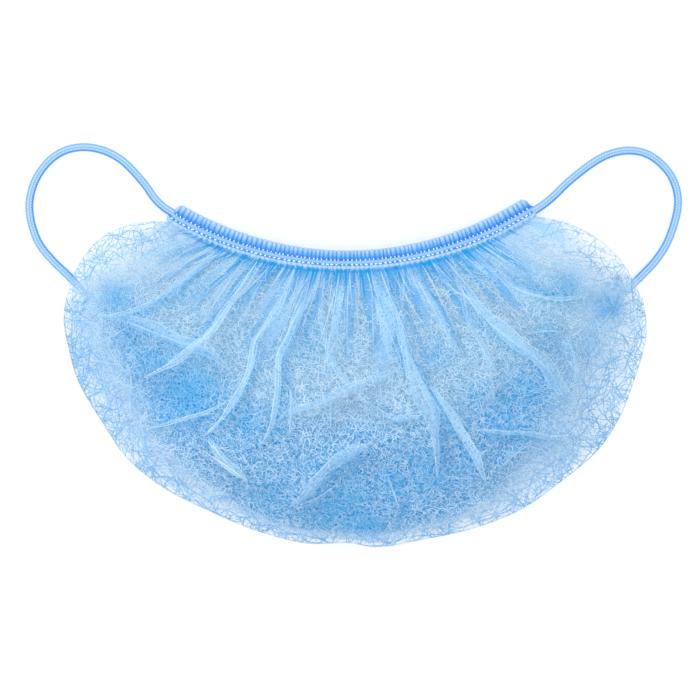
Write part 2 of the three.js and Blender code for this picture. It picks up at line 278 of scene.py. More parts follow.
def ear_loop(name, route, inner_side, material):
    """One ear loop as an oval tube of knitted wales; inner_side tells where the loop's middle lies."""
    line = smooth_line(route, ELASTIC_STEP)
    path = np.column_stack([line, np.full(len(line), ELASTIC_THICKNESS / 2)])
    side = left_of(line)
    run = np.arange(len(line))[:, None] * ELASTIC_STEP
    angle = np.linspace(0, 2 * math.pi, ELASTIC_SIDES, endpoint=False)[None, :]
    wale = angle / (2 * math.pi) * WALES
    in_wale = np.abs((wale % 1.0) - 0.5) * 2
    rib = 1 - in_wale**2
    knit = 0.5 + 0.5 * np.cos(2 * math.pi * (run / KNIT_PITCH + 0.5 * in_wale + 0.5 * np.floor(wale)))
    relief = WALE_RELIEF * (rib - 1) + KNIT_RELIEF * (knit - 1) * rib
    to_end = (run[-1] - run) / LOOP_PRESSED
    slim = LOOP_PRESSED_SHARE + (1 - LOOP_PRESSED_SHARE) * np.minimum(1, to_end) ** 0.7
    path[:, 2] *= slim[:, 0]
    wide = (ELASTIC_WIDTH / 2 + relief) * np.cos(angle)
    high = (ELASTIC_THICKNESS / 2 + relief) * np.sin(angle) * slim
    points = np.empty((*wide.shape, 3))
    points[..., :2] = line[:, None, :] + wide[..., None] * side[:, None, :]
    points[..., 2] = path[:, None, 2] + high
    # Painted shade to both sides, most on the inner one, and in the grooves between wales and stitches.
    edge = np.cos(angle) * inner_side
    tone = 1.05 - 0.75 * np.clip(edge, 0, 1) ** 2 - 0.40 * np.clip(-edge, 0, 1) ** 2.5
    tone = tone - 0.80 * (1 - rib) ** 1.5 - 0.45 * (1 - knit) * rib
    wrapped = np.clip(2 - 2 * (run[-1] - run) / LOOP_WRAPPED, 0, 1) + 0 * angle
    tone = np.clip(tone, 0, 1)
    faces = tube_faces(len(line), ELASTIC_SIDES)
    piece = mesh_piece(name, points.reshape(-1, 3), faces, material, tone=tone, wrapped=wrapped)
    piece.visible_shadow = False
    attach(piece, "root")
    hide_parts(name)
    return piece


elastic = elastic_material()
ear_loop("ear_loop_left", LEFT_LOOP_ROUTE, 1, elastic)
ear_loop("ear_loop_right", RIGHT_LOOP_ROUTE, -1, elastic)

# Front band: the front edge of the mouth, a casing of the same cloth drawn together on hidden elastic.
# Its upper part is a roll of tight ribs; below it two rows of white stitches hold a flat strip between
# them, and the raw lower edge stands out in a small ruffle.
BAND_CENTRE = (-3.0, 170.1)
BAND_RADIUS = 127.6
BAND_HALF_ANGLE = 32.1
BAND_TURN = 1.0
BAND_END_HEIGHT = 1.25
BAND_MIDDLE_LIFT = 9.0
BAND_MIDDLE_TILT = 28.0
# Over this length the ends of the band close in to this share of its section.
BAND_END_LENGTH = 2.6
BAND_END_SHARE = 0.25
RIB_PITCH = 1.8
RIB_SEED = 11
RUFFLE_PITCH = 2.0
RUFFLE_SEED = 12
BAND_STEP = 0.16
SCALLOP = 0.42
RUFFLE_SCALLOP = 0.55
RUFFLE_REACH = 1.2
# Tones of the band: painted light on the tops of ribs and ruffle, a middle tone, painted shade in the
# grooves and low down.
BAND_PAINTED_LIGHT = paint(174, 207, 241)
BAND_MIDDLE = paint(80, 162, 237)
BAND_PAINTED_SHADE = paint(0, 102, 216)
# Section from the top edge down the face and round the back: height, and painted light and shade, on a fold
# and between folds.
BAND_SECTION = [
    # across, on_fold, between, light_on, light_between
    (4.90, 0.05, 0.05, 0.90, 0.55),
    (4.75, 0.80, 0.30, 0.98, 0.50),
    (4.05, 1.40, 0.55, 1.00, 0.40),
    (3.00, 1.65, 0.62, 0.90, 0.28),
    (1.95, 1.50, 0.58, 0.66, 0.12),
    (1.20, 1.10, 0.45, 0.44, 0.02),
    (0.70, 0.65, 0.34, 0.20, 0.00),
    (0.28, 0.45, 0.30, 0.10, 0.00),
    (0.00, 0.62, 0.58, 0.60, 0.50),
    (-0.45, 0.82, 0.78, 0.70, 0.60),
    (-1.15, 0.82, 0.78, 0.66, 0.56),
    (-1.45, 0.58, 0.52, 0.25, 0.08),
    (-1.90, 0.52, 0.46, 0.15, 0.02),
    (-2.25, 0.78, 0.60, 0.78, 0.45),
    (-2.85, 1.10, 0.68, 1.00, 0.60),
    (-3.50, 1.05, 0.55, 0.97, 0.50),
    (-4.05, 0.60, 0.20, 0.88, 0.35),
    (-4.25, 0.05, 0.00, 0.50, 0.30),
    (-3.90, -0.50, -0.40, 0.30, 0.20),
    (0.00, -0.80, -0.70, 0.40, 0.30),
    (3.40, -0.80, -0.70, 0.40, 0.30),
    (4.70, -0.40, -0.30, 0.60, 0.40),
]


def band_point(share, across, rise):
    """Points of the band at a share of its length, a distance across its face and a rise off it."""
    angle = np.radians(BAND_HALF_ANGLE * (2 * share - 1) + BAND_TURN)
    bow = np.sin(np.pi * np.clip(share, 0, 1))
    tilt = np.radians(BAND_MIDDLE_TILT) * bow
    radius = BAND_RADIUS - (across * np.cos(tilt) + rise * np.sin(tilt))
    height = BAND_END_HEIGHT + BAND_MIDDLE_LIFT * bow - across * np.sin(tilt) + rise * np.cos(tilt)
    x = BAND_CENTRE[0] + radius * np.sin(angle)
    y = BAND_CENTRE[1] - radius * np.cos(angle)
    return np.stack(np.broadcast_arrays(x, y, height), axis=-1)


def fold_wave(run, pitch, seed):
    """Uneven row of round folds along a run: 1 on a fold, dropping sharply to 0 between two."""
    draw = np.random.default_rng(seed)
    count = int(run.max() / pitch) + 3
    wider = 1 + 0.25 * np.linspace(-1, 1, count) ** 2
    edges = np.cumsum(pitch * wider * draw.uniform(0.75, 1.25, count))
    edges *= (run.max() + pitch) / edges[-1]
    number = np.searchsorted(edges, run)
    start = np.concatenate([[0.0], edges])[number]
    place = (run - start) / (edges[np.minimum(number, count - 1)] - start)
    strength = draw.uniform(0.7, 1.0, count + 1)[number]
    return strength * np.clip(1 - (2 * place - 1) ** 2, 0, 1) ** 0.65


def felt_lines_group():
    """Mask of fibres felted into a cloth: a net of curved lines at 1 round small holes at 0."""
    group = bpy.data.node_groups.new("felt_lines", "ShaderNodeTree")
    group.interface.new_socket("Scale", in_out="INPUT", socket_type="NodeSocketFloat")
    group.interface.new_socket("Line Width", in_out="INPUT", socket_type="NodeSocketFloat")
    group.interface.new_socket("Mask", in_out="OUTPUT", socket_type="NodeSocketFloat")
    inside = group.nodes.new("NodeGroupInput")
    outside = group.nodes.new("NodeGroupOutput")
    place = add(group, "TexCoord")
    inputs = {0: place.outputs["Object"], "Scale": inside.outputs["Scale"]}
    large = add(group, "VectorMath", inputs, operation="SCALE").outputs["Vector"]
    wander = add(group, "TexNoise", {"Vector": large, "Scale": 0.7, "Detail": 1.0})
    inputs = {0: wander.outputs["Color"], 1: (0.9, 0.9, 0.9), 2: large}
    bent = add(group, "VectorMath", inputs, operation="MULTIPLY_ADD").outputs["Vector"]
    lines = []
    for size in (1.0, 0.62):
        cells = add(group, "TexVoronoi", {"Vector": bent, "Scale": size}, feature="DISTANCE_TO_EDGE")
        lines.append(ranged(group, cells.outputs["Distance"], 1.0, 0.0, end=inside.outputs["Line Width"]))
    group.links.new(calc(group, "MAXIMUM", *lines), outside.inputs["Mask"])
    return group


felt_lines = felt_lines_group()


def felt_mask(tree, scale, line_width):
    """Mask of the felted fibres, placed in a material with its own scale and line width."""
    inputs = {"Scale": scale, "Line Width": line_width}
    return add(tree, "Group", inputs, node_tree=felt_lines).outputs["Mask"]


def band_material():
    material, tree, shader = new_material("gathered_band")
    felt = felt_mask(tree, 1500.0, 0.15)
    # Painted light and shade of ribs and grooves, spread by the felted fibres.
    level = calc(tree, "MULTIPLY_ADD", felt, 0.14, point_value(tree, "tone"))
    colour = tone_ramp(tree, level, [(0.05, BAND_PAINTED_SHADE), (0.45, BAND_MIDDLE), (0.95, BAND_PAINTED_LIGHT)])
    bump = add(tree, "Bump", {"Height": felt, "Strength": 0.25, "Distance": 0.0002})
    set_inputs(tree, shader, {
        "Base Color": colour,
        "Normal": bump.outputs["Normal"],
        "Roughness": 0.8,
        "Sheen Weight": 0.1,
    })
    return material


band_length = BAND_RADIUS * math.radians(2 * BAND_HALF_ANGLE)
band_share = np.linspace(0, 1, round(band_length / BAND_STEP) + 1)
band_run = band_share * band_length
ribs = fold_wave(band_run, RIB_PITCH, RIB_SEED)
ruffle = fold_wave(band_run, RUFFLE_PITCH, RUFFLE_SEED)
section = np.array(BAND_SECTION)
# How far each point of the section belongs to the ruffle, to the top edge and to the bottom edge.
ruffle_share = np.clip((-1.2 - section[:, 0]) / 0.8, 0, 1)
top_share = np.clip((section[:, 0] - 3.6) / 0.9, 0, 1)
bottom_share = np.clip((-section[:, 0] - 3.0) / 0.9, 0, 1)
wave = ribs[:, None] * (1 - ruffle_share) + ruffle[:, None] * ruffle_share
band_across = section[:, 0] - SCALLOP * (1 - ribs[:, None]) * top_share
band_across = band_across + RUFFLE_SCALLOP * (1 - ruffle[:, None]) * bottom_share
band_rise = section[:, 2] + (section[:, 1] - section[:, 2]) * wave
band_tone = section[:, 4] + (section[:, 3] - section[:, 4]) * wave
closing = np.clip(1 - np.minimum(band_run, band_length - band_run) / BAND_END_LENGTH, 0, 1)
end_round = BAND_END_SHARE + (1 - BAND_END_SHARE) * np.sqrt(1 - closing**2)[:, None]
end_pull = np.sign(band_share - 0.5) * np.clip(20 * np.abs(2 * band_share - 1) - 19, 0, 1)
band_place = band_share[:, None] + RUFFLE_REACH / band_length * end_pull[:, None] * ruffle_share
band_points = band_point(band_place, band_across * end_round, band_rise * end_round)
front_band = mesh_piece(
    "front_band_cloth",
    band_points.reshape(-1, 3),
    tube_faces(len(band_share), len(section)),
    band_material(),
    tone=band_tone,
)
front_band.visible_shadow = False
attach(front_band, "root")
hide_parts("front_band")

# Stitches: two rows of white sewing thread that hold the band's casing shut.
# The upper row shows as short upright ticks between the ribs, the lower row as dashes along the seam.
TICK_ACROSS = 0.40
TICK_LENGTH = 0.92
TICK_WIDTH = 0.50
TICK_HEIGHT = 0.58
TICK_PITCH = 0.9 * RIB_PITCH
TICK_SEED = 21
DASH_ACROSS = -1.68
DASH_LENGTH = 1.22
DASH_WIDTH = 0.56
DASH_HEIGHT = 0.66
DASH_SEED = 22
THREAD_HEIGHT = 0.30
THREAD_RINGS = 7
THREAD_SIDES = 8
THREAD_SHADE = paint(190, 215, 250)
THREAD_WHITE = paint(252, 254, 255)


def thread_material():
    material, tree, shader = new_material("white_thread")
    twist = add(tree, "TexWave", {"Scale": 900.0, "Distortion": 1.0}, bands_direction="DIAGONAL")
    white = blend(tree, ranged(tree, twist.outputs["Fac"], 0.82, 1.0), THREAD_SHADE, THREAD_WHITE)
    set_inputs(tree, shader, {"Base Color": white, "Roughness": 0.6})
    return material


def stitch_points(runs, across, length, width, base, along_band, seed):
    """Rings of points of small rounded stitches that lie on the band at the given places."""
    draw = np.random.default_rng(seed)
    place = np.linspace(-1, 1, THREAD_RINGS)[None, :, None]
    angle = np.linspace(0, 2 * math.pi, THREAD_SIDES, endpoint=False)[None, None, :]
    count = len(runs)
    size = draw.uniform(0.55, 1.15, (count, 1, 1))
    turn = draw.normal(0, 0.22, (count, 1, 1))
    thick = (1 - np.abs(place) ** 2.5) ** 0.5 + 0.02
    ahead = place * size * length / 2
    beside = thick * np.cos(angle) * width / 2
    rise = base + THREAD_HEIGHT * thick * np.sin(angle)
    if not along_band:
        ahead, beside = beside + 0 * ahead, ahead + 0 * beside
    moved = np.asarray(runs) + draw.normal(0, 0.16, count)
    run = moved[:, None, None] + ahead * np.cos(turn) - beside * np.sin(turn)
    over = across + ahead * np.sin(turn) + beside * np.cos(turn)
    return band_point(run / band_length, over, rise + 0 * run)


def stitch_faces(count):
    """Faces of all stitches of a row, each a small tube that narrows to nothing at its ends."""
    one = grid_faces(THREAD_RINGS, THREAD_SIDES, closed=True)
    jump = np.arange(count)[:, None, None] * THREAD_RINGS * THREAD_SIDES
    return (one[None] + jump).reshape(-1, 4).tolist()


white_thread = thread_material()
tick_runs = np.arange(1.6, band_length - 1.2, TICK_PITCH)
dash_runs = np.arange(0.8, band_length - 0.6, RIB_PITCH)
for name, runs, across, length, width, base, along_band, seed in (
    ("upper_stitches", tick_runs, TICK_ACROSS, TICK_LENGTH, TICK_WIDTH, TICK_HEIGHT, False, TICK_SEED),
    ("lower_stitches", dash_runs, DASH_ACROSS, DASH_LENGTH, DASH_WIDTH, DASH_HEIGHT, True, DASH_SEED),
):
    thread = stitch_points(runs, across, length, width, base, along_band, seed)
    stitches = mesh_piece(name, thread.reshape(-1, 3), stitch_faces(len(runs)), white_thread)
    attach(stitches, "root")

# Pouch: one sheet of sheer blue spunbond, gathered on the band. It swells over the chin in soft ridges,
# turns under along the sides and the bottom, and comes back flat on the table to the back hem.
# The sheet itself is a thin film; its laid-over pleats and the fibres that make it up are added below.
CHIN_FOLD = [
    (-109.2, 29.3), (-109.8, 20.0), (-108.2, 11.0), (-104.5, -2.0), (-95.9, -16.9), (-85.4, -32.0),
    (-71.1, -43.2), (-56.0, -50.8), (-38.4, -58.3), (-18.8, -63.4), (-2.3, -63.4), (8.6, -64.9),
    (24.8, -62.2), (42.9, -58.3), (62.4, -50.8), (78.6, -39.5), (91.7, -28.2), (99.3, -16.9),
    (105.3, -1.9), (109.6, 13.2), (109.8, 20.0), (108.4, 29.3),
]
# The cloth leaves the band at this place on its face, a little in from the band's ends.
CLOTH_START_ACROSS = -2.9
CLOTH_START_RISE = 0.2
CLOTH_START_INSET = 0.012
# The chin fold is round, and sharper over a share of the width at its two corners.
CHIN_FOLD_RADIUS = 2.6
CORNER_FOLD_RADIUS = 0.9
CORNER_REACH = 0.05
CHIN_FOLD_TURNS = [70, 48, 25, 2, -20, -43, -65]
# How much the runs of the cloth spread apart towards the middle of the chin fold.
FAN_OUT = 0.075
# How far the cloth bulges out beside the band's ends, over which share of the width, and its lift there.
LEFT_SHOULDER = 21.5
RIGHT_SHOULDER = 16.0
SHOULDER_REACH = 0.3
SHOULDER_LIFT = 3.4
SWELL_HEIGHT = 28.0
CLOTH_LEVEL = 0.6
FRONT_LEAST_LEVEL = CLOTH_LEVEL + 0.5
HEM_CENTRE = (-0.4, 109.9)
HEM_RADIUS = 128.7
HEM_HALF_ANGLE = 51.5
HEM_HALF_WIDTH = 2.0
HEM_LAP = 0.6
HEM_INSET = 0.01
CLOTH_COLUMNS = 440
FRONT_ROWS = 150
BACK_ROWS = 40
# How far the see-through rim reaches in from the edges of the front layer.
RIM_AT_SHOULDERS = 29.0
RIM_AT_LEFT = 26.0
RIM_AT_RIGHT = 38.0
RIM_AT_BOTTOM = 5.0
# Distances from the band over which its gathers with painted shade between them and the painted shadow at
# their roots fade out, and distances from the hem over which the back layer, in painted shade under the
# front one, comes to show through it.
GATHER_ZONE = (3.0, 15.0)
ROOT_ZONE = (2.0, 9.0)
DOUBLE_ZONE = (-16.0, 12.0)
# The film's colours hold painted shade, as the pouch casts none: the upper ones the floor's shade seen
# through one layer, the lower ones the back layer's shade under the front one, the blue ones the shade in
# the gathers, under the band and beside the pleats, where the cloth is also doubled.
FILM_UPPER = paint(70, 138, 181)
FILM_LOWER = paint(26, 120, 186)
FILM_DOUBLED_AND_SHADED = paint(6, 118, 194)
FILM_RIM = paint(156, 197, 222)
FELT_UPPER = paint(132, 181, 210)
FELT_LOWER = paint(106, 174, 220)
FELT_DOUBLED_AND_SHADED = paint(88, 178, 226)
# Pleats of the front layer, each along a line of x, y points, with half its width, how bright it shows,
# and how far the cloth beside it is doubled and painted in shade, on the line's left if above zero and on
# its right if below.
PLEATS = [
    # line, half_width, bright, doubled
    ([(-54.1, 45.6), (-61.2, 38.5), (-68.3, 32.3), (-75.4, 27.4), (-81.6, 24.1), (-90.5, 22.5),
      (-97.6, 21.6)], 0.9, 0.7, 6.0),
    ([(-95.8, 21.8), (-84.3, 20.9), (-75.4, 17.4), (-66.6, 13.5), (-56.8, 9.9),
      (-45.3, 1.1)], 2.0, 0.7, -9.0),
    ([(-35.5, 42.1), (-43.0, 31.8), (-48.4, 24.3), (-53.2, 17.2), (-57.7, 12.8), (-63.0, 8.3),
      (-69.2, 3.9), (-80.3, -1.6)], 1.1, 1.4, -5.0),
    ([(-23.5, 40.3), (-25.7, 34.1), (-28.4, 26.1), (-32.8, 19.0), (-37.3, 12.8), (-38.2, 7.4),
      (-39.5, 1.2), (-42.6, -5.0), (-48.8, -15.2), (-57.7, -24.3)], 1.0, 1.1, 6.0),
    ([(-55.2, -23.4), (-51.9, -27.6), (-47.5, -33.4), (-43.5, -36.9), (-39.5, -39.8)], 1.5, 1.2, 0.0),
    ([(-57.9, -27.7), (-48.8, -33.4), (-39.9, -40.1)], 0.4, 1.1, 0.0),
    ([(-53.9, -24.3), (-52.0, -27.5), (-50.0, -31.0)], 0.4, 0.9, 0.0),
    ([(-12.4, 38.5), (-16.9, 30.5), (-21.7, 21.2), (-25.7, 12.8), (-27.9, 8.3), (-28.4, 0.3),
      (-29.5, -10.3), (-30.6, -17.4), (-35.7, -27.3)], 1.0, 1.1, 7.0),
    ([(-46.6, -9.0), (-54.1, -13.0), (-63.0, -16.1), (-71.0, -18.3), (-79.0, -20.2)], 0.6, 1.0, -5.0),
    ([(-85.9, 6.1), (-84.0, -0.5), (-84.3, -8.5), (-84.3, -19.2)], 0.4, 0.6, 0.0),
    ([(-29.4, -18.6), (-26.4, -14.7), (-16.9, -11.6), (-8.0, -7.8), (5.9, -1.4),
      (18.5, 2.1)], 1.4, 0.65, 0.0),
    ([(-25.3, -49.5), (-18.6, -44.9), (-13.7, -38.3), (-7.1, -32.0), (2.3, -27.2),
      (7.8, -24.3)], 1.7, 0.7, -8.0),
    ([(-11.7, 37.6), (-12.8, 25.2), (-11.4, 14.5), (-8.9, 6.1), (-4.0, -1.0), (1.9, -6.9), (6.5, -11.5),
      (12.0, -16.5)], 0.8, 0.65, 0.0),
    ([(6.5, -11.0), (13.0, -15.3), (19.0, -15.8), (24.8, -15.0)], 0.8, 0.7, 0.0),
    ([(20.0, 5.5), (22.5, -6.5), (27.0, -15.5), (30.5, -27.5)], 1.3, 0.7, 0.0),
    ([(-23.0, -48.9), (-14.0, -45.8), (-5.6, -39.9)], 0.4, 0.5, 0.0),
    ([(-6.9, 39.4), (-6.0, 29.6), (-5.3, 19.0)], 0.5, 0.6, 0.0),
    ([(-1.6, 39.4), (-3.0, 27.0), (-4.3, 12.8)], 0.5, 0.6, 0.0),
    ([(-69.2, 57.1), (-79.9, 51.4), (-88.7, 46.3)], 0.6, 0.5, 0.0),
    ([(-64.8, 51.4), (-73.6, 42.9), (-81.6, 36.5), (-88.7, 31.8)], 0.6, 0.5, 0.0),
    ([(-66.6, 54.0), (-77.2, 46.3), (-85.2, 39.8)], 0.6, 0.5, 0.0),
    ([(-57.7, 47.4), (-66.6, 39.8), (-73.6, 34.1)], 0.6, 0.5, 0.0),
    ([(-94.8, 34.2), (-97.6, 28.3), (-101.3, 21.2)], 1.2, 0.6, 0.0),
    ([(-33.5, -45.1), (-35.5, -40.5), (-39.9, -33.4), (-43.9, -27.6)], 0.4, 0.5, 0.0),
    ([(-43.0, 42.5), (-52.4, 34.1), (-58.6, 27.9), (-61.2, 21.6)], 0.6, 0.6, 0.0),
    ([(-30.6, 40.7), (-36.4, 32.3), (-40.8, 23.4), (-43.5, 16.3)], 0.6, 0.6, 0.0),
    ([(-24.0, -3.2), (-24.1, -15.6), (-24.8, -24.5)], 0.4, 0.5, 0.0),
    ([(-9.3, -7.6), (-9.0, -21.0)], 0.4, 0.5, 0.0),
    ([(-102.9, 11.0), (-94.9, 12.8), (-87.8, 16.3), (-82.5, 19.9)], 0.4, 0.5, 0.0),
    ([(5.7, 40.3), (8.6, 33.2), (13.2, 27.0), (16.4, 19.9), (18.1, 12.8), (19.2, 5.7),
      (19.6, -2.5)], 1.6, 1.1, -6.0),
    ([(19.5, 9.2), (23.6, -0.5), (27.6, -9.0), (29.7, -13.9), (30.2, -23.6),
      (30.9, -39.6)], 1.2, 0.9, 6.0),
    ([(27.0, -2.5), (32.5, -9.9), (37.0, -17.0), (41.4, -23.6), (44.9, -30.7),
      (49.6, -41.1)], 1.4, 1.4, -7.0),
    ([(29.9, -5.9), (36.1, -13.0), (42.7, -20.2)], 0.5, 0.7, 0.0),
    ([(21.0, 36.7), (24.7, 32.1), (29.9, 27.0), (32.7, 21.6), (34.3, 16.3), (36.1, 11.0),
      (40.5, 7.3)], 0.7, 0.8, 0.0),
    ([(37.0, 40.3), (39.6, 31.4), (41.4, 23.4), (44.1, 16.3), (47.6, 11.0), (51.2, 3.9),
      (54.0, -2.5)], 0.7, 0.8, 0.0),
    ([(44.2, 15.3), (49.4, 3.9), (51.2, -5.9), (52.0, -10.7)], 0.5, 0.7, 0.0),
    ([(39.2, 36.3), (44.1, 28.7), (49.4, 22.5), (55.6, 15.9), (62.0, 11.2), (69.8, 4.6), (78.7, -6.8),
      (86.9, -17.4)], 2.2, 0.9, -7.0),
    ([(51.2, 39.8), (60.0, 33.0), (68.0, 30.1), (75.1, 28.6), (88.4, 29.6)], 0.6, 0.8, 7.0),
    ([(62.7, 53.1), (67.1, 47.4), (74.2, 42.9), (83.1, 41.0), (92.9, 41.2)], 0.6, 0.5, 0.0),
    ([(56.5, 48.7), (61.8, 42.9), (68.9, 38.9), (79.6, 37.6)], 0.5, 0.5, 0.0),
    ([(62.7, 15.3), (71.6, 16.5), (79.6, 16.0)], 0.4, 0.5, 0.0),
    ([(77.8, 15.6), (81.8, 7.4), (82.6, -0.5), (81.8, -5.9), (83.3, -10.7)], 0.5, 0.7, 0.0),
    ([(42.7, -20.4), (52.0, -21.0), (63.6, -21.8), (74.2, -23.3), (88.6, -21.8)], 0.8, 0.8, -7.0),
    ([(68.0, -5.9), (78.7, -6.9), (96.4, -7.8)], 0.4, 0.4, 0.0),
    ([(11.7, -36.0), (14.8, -44.9), (17.6, -52.5)], 0.4, 0.5, 0.0),
    ([(52.0, -37.4), (56.5, -32.5), (61.8, -28.1), (68.2, -24.5)], 0.4, 0.5, 0.0),
    ([(21.0, -58.4), (29.9, -54.9), (40.5, -53.1), (52.0, -49.8)], 0.5, 0.4, 0.0),
    ([(1.0, 39.4), (-0.3, 29.6), (-2.1, 19.9)], 0.5, 0.5, 0.0),
    ([(17.9, 40.3), (18.1, 31.4), (17.6, 23.4)], 0.4, 0.5, 0.0),
    ([(5.9, 38.5), (7.7, 30.5), (8.6, 22.5), (6.8, 16.3), (3.7, 11.9)], 0.5, 0.6, 0.0),
    ([(29.9, 40.3), (36.1, 32.3), (44.1, 27.9), (51.2, 25.2)], 0.5, 0.6, 0.0),
]
# Soft hollows and swellings of the front layer between the pleats.
DENTS = [
    # x, y, reach, rise
    (-69.0, -10.0, 12.0, -4.0),
    (4.0, -18.0, 11.0, -3.5),
    (14.0, -38.0, 10.0, -3.0),
    (37.0, -30.0, 9.0, -3.0),
    (-52.0, 16.0, 9.0, 2.0),
    (60.0, 12.0, 9.0, 2.0),
]
# Places where the cloth looks bluer, partly where it lies on itself and partly painted shade in its dents
# and hollows.
TINTS = [
    # x, y, reach, depth
    (-62.0, -6.0, 13.0, 1.0),
    (-74.0, 4.0, 11.0, 0.7),
    (-84.0, 14.5, 8.0, 0.6),
    (-39.9, -16.5, 8.0, 0.6),
    (-20.0, 14.0, 8.0, 0.5),
    (-17.0, 28.0, 4.0, 0.7),
    (-34.0, 10.0, 6.0, 0.4),
    (-9.0, -49.0, 11.0, 0.8),
    (0.0, -44.0, 9.0, 0.6),
    (2.0, -57.0, 10.0, 0.8),
    (-30.0, -45.0, 9.0, 0.5),
    (28.0, -36.5, 9.0, 0.7),
    (14.0, -40.0, 8.0, 0.7),
    (-90.5, 29.5, 7.5, 0.9),
    (94.0, 27.0, 8.0, 0.9),
    (55.0, -13.0, 8.0, 0.6),
    (97.0, 24.5, 4.0, 0.8),
    (99.0, 34.5, 3.5, 0.8),
    (89.0, 10.0, 8.0, 0.45),
    (80.0, 34.0, 8.0, 0.8),
    (72.0, 14.0, 7.0, 0.5),
    (30.0, 7.5, 6.0, 0.5),
    (45.0, -8.0, 6.0, 0.5),
    (63.0, -6.0, 12.0, 0.55),
    (74.0, -28.0, 9.0, 0.5),
    (56.0, -26.0, 7.0, 0.3),
    (0.4, -53.0, 2.5, 1.0),
    (17.7, -50.8, 2.5, 0.9),
]


def fade(value, low, high):
    """Smooth step from 0 at low to 1 at high."""
    t = np.clip((value - low) / (high - low), 0, 1)
    return t * t * (3 - 2 * t)


def soft_spot(flat, x, y, reach):
    """Share that falls from 1 at a place to nothing well past its reach."""
    return np.exp(-((flat[..., 0] - x) ** 2 + (flat[..., 1] - y) ** 2) / reach**2)


def pleat_relief(flat):
    """Height that the pleats give the front layer, and how much the cloth beside them is doubled and
    painted in shade.
    """
    ridge = np.zeros(flat.shape[:-1]).ravel()
    doubled = np.zeros_like(ridge)
    places = flat.reshape(-1, 2)
    for line, half_width, _, wide in PLEATS:
        line = smooth_line(line, 1.0)
        reach = 2.5 + 2.0 * half_width
        margin = max(2 * reach, abs(wide))
        near = (places > line.min(axis=0) - margin) & (places < line.max(axis=0) + margin)
        close = np.flatnonzero(near.all(axis=1))
        offset = places[close][:, None] - line[None]
        away = np.linalg.norm(offset, axis=-1)
        nearest = away.argmin(axis=1)
        away = away.min(axis=1)
        share = nearest / (len(line) - 1)
        taper = np.minimum(1, 4 * np.minimum(share, 1 - share) + 0.2)
        rise = (1.2 + 1.8 * half_width) * taper * np.exp(-((away / reach) ** 2))
        ridge[close] = np.maximum(ridge[close], rise)
        if wide:
            ahead = np.gradient(line, axis=0)[nearest]
            beside = offset[np.arange(len(close)), nearest]
            left = ahead[:, 0] * beside[:, 1] - ahead[:, 1] * beside[:, 0]
            depth = np.clip(1 - away / abs(wide), 0, 1) * np.minimum(1, 5 * np.minimum(share, 1 - share))
            doubled[close] = np.maximum(doubled[close], np.where(left * wide > 0, depth, 0))
    return ridge.reshape(flat.shape[:-1]), doubled.reshape(flat.shape[:-1])


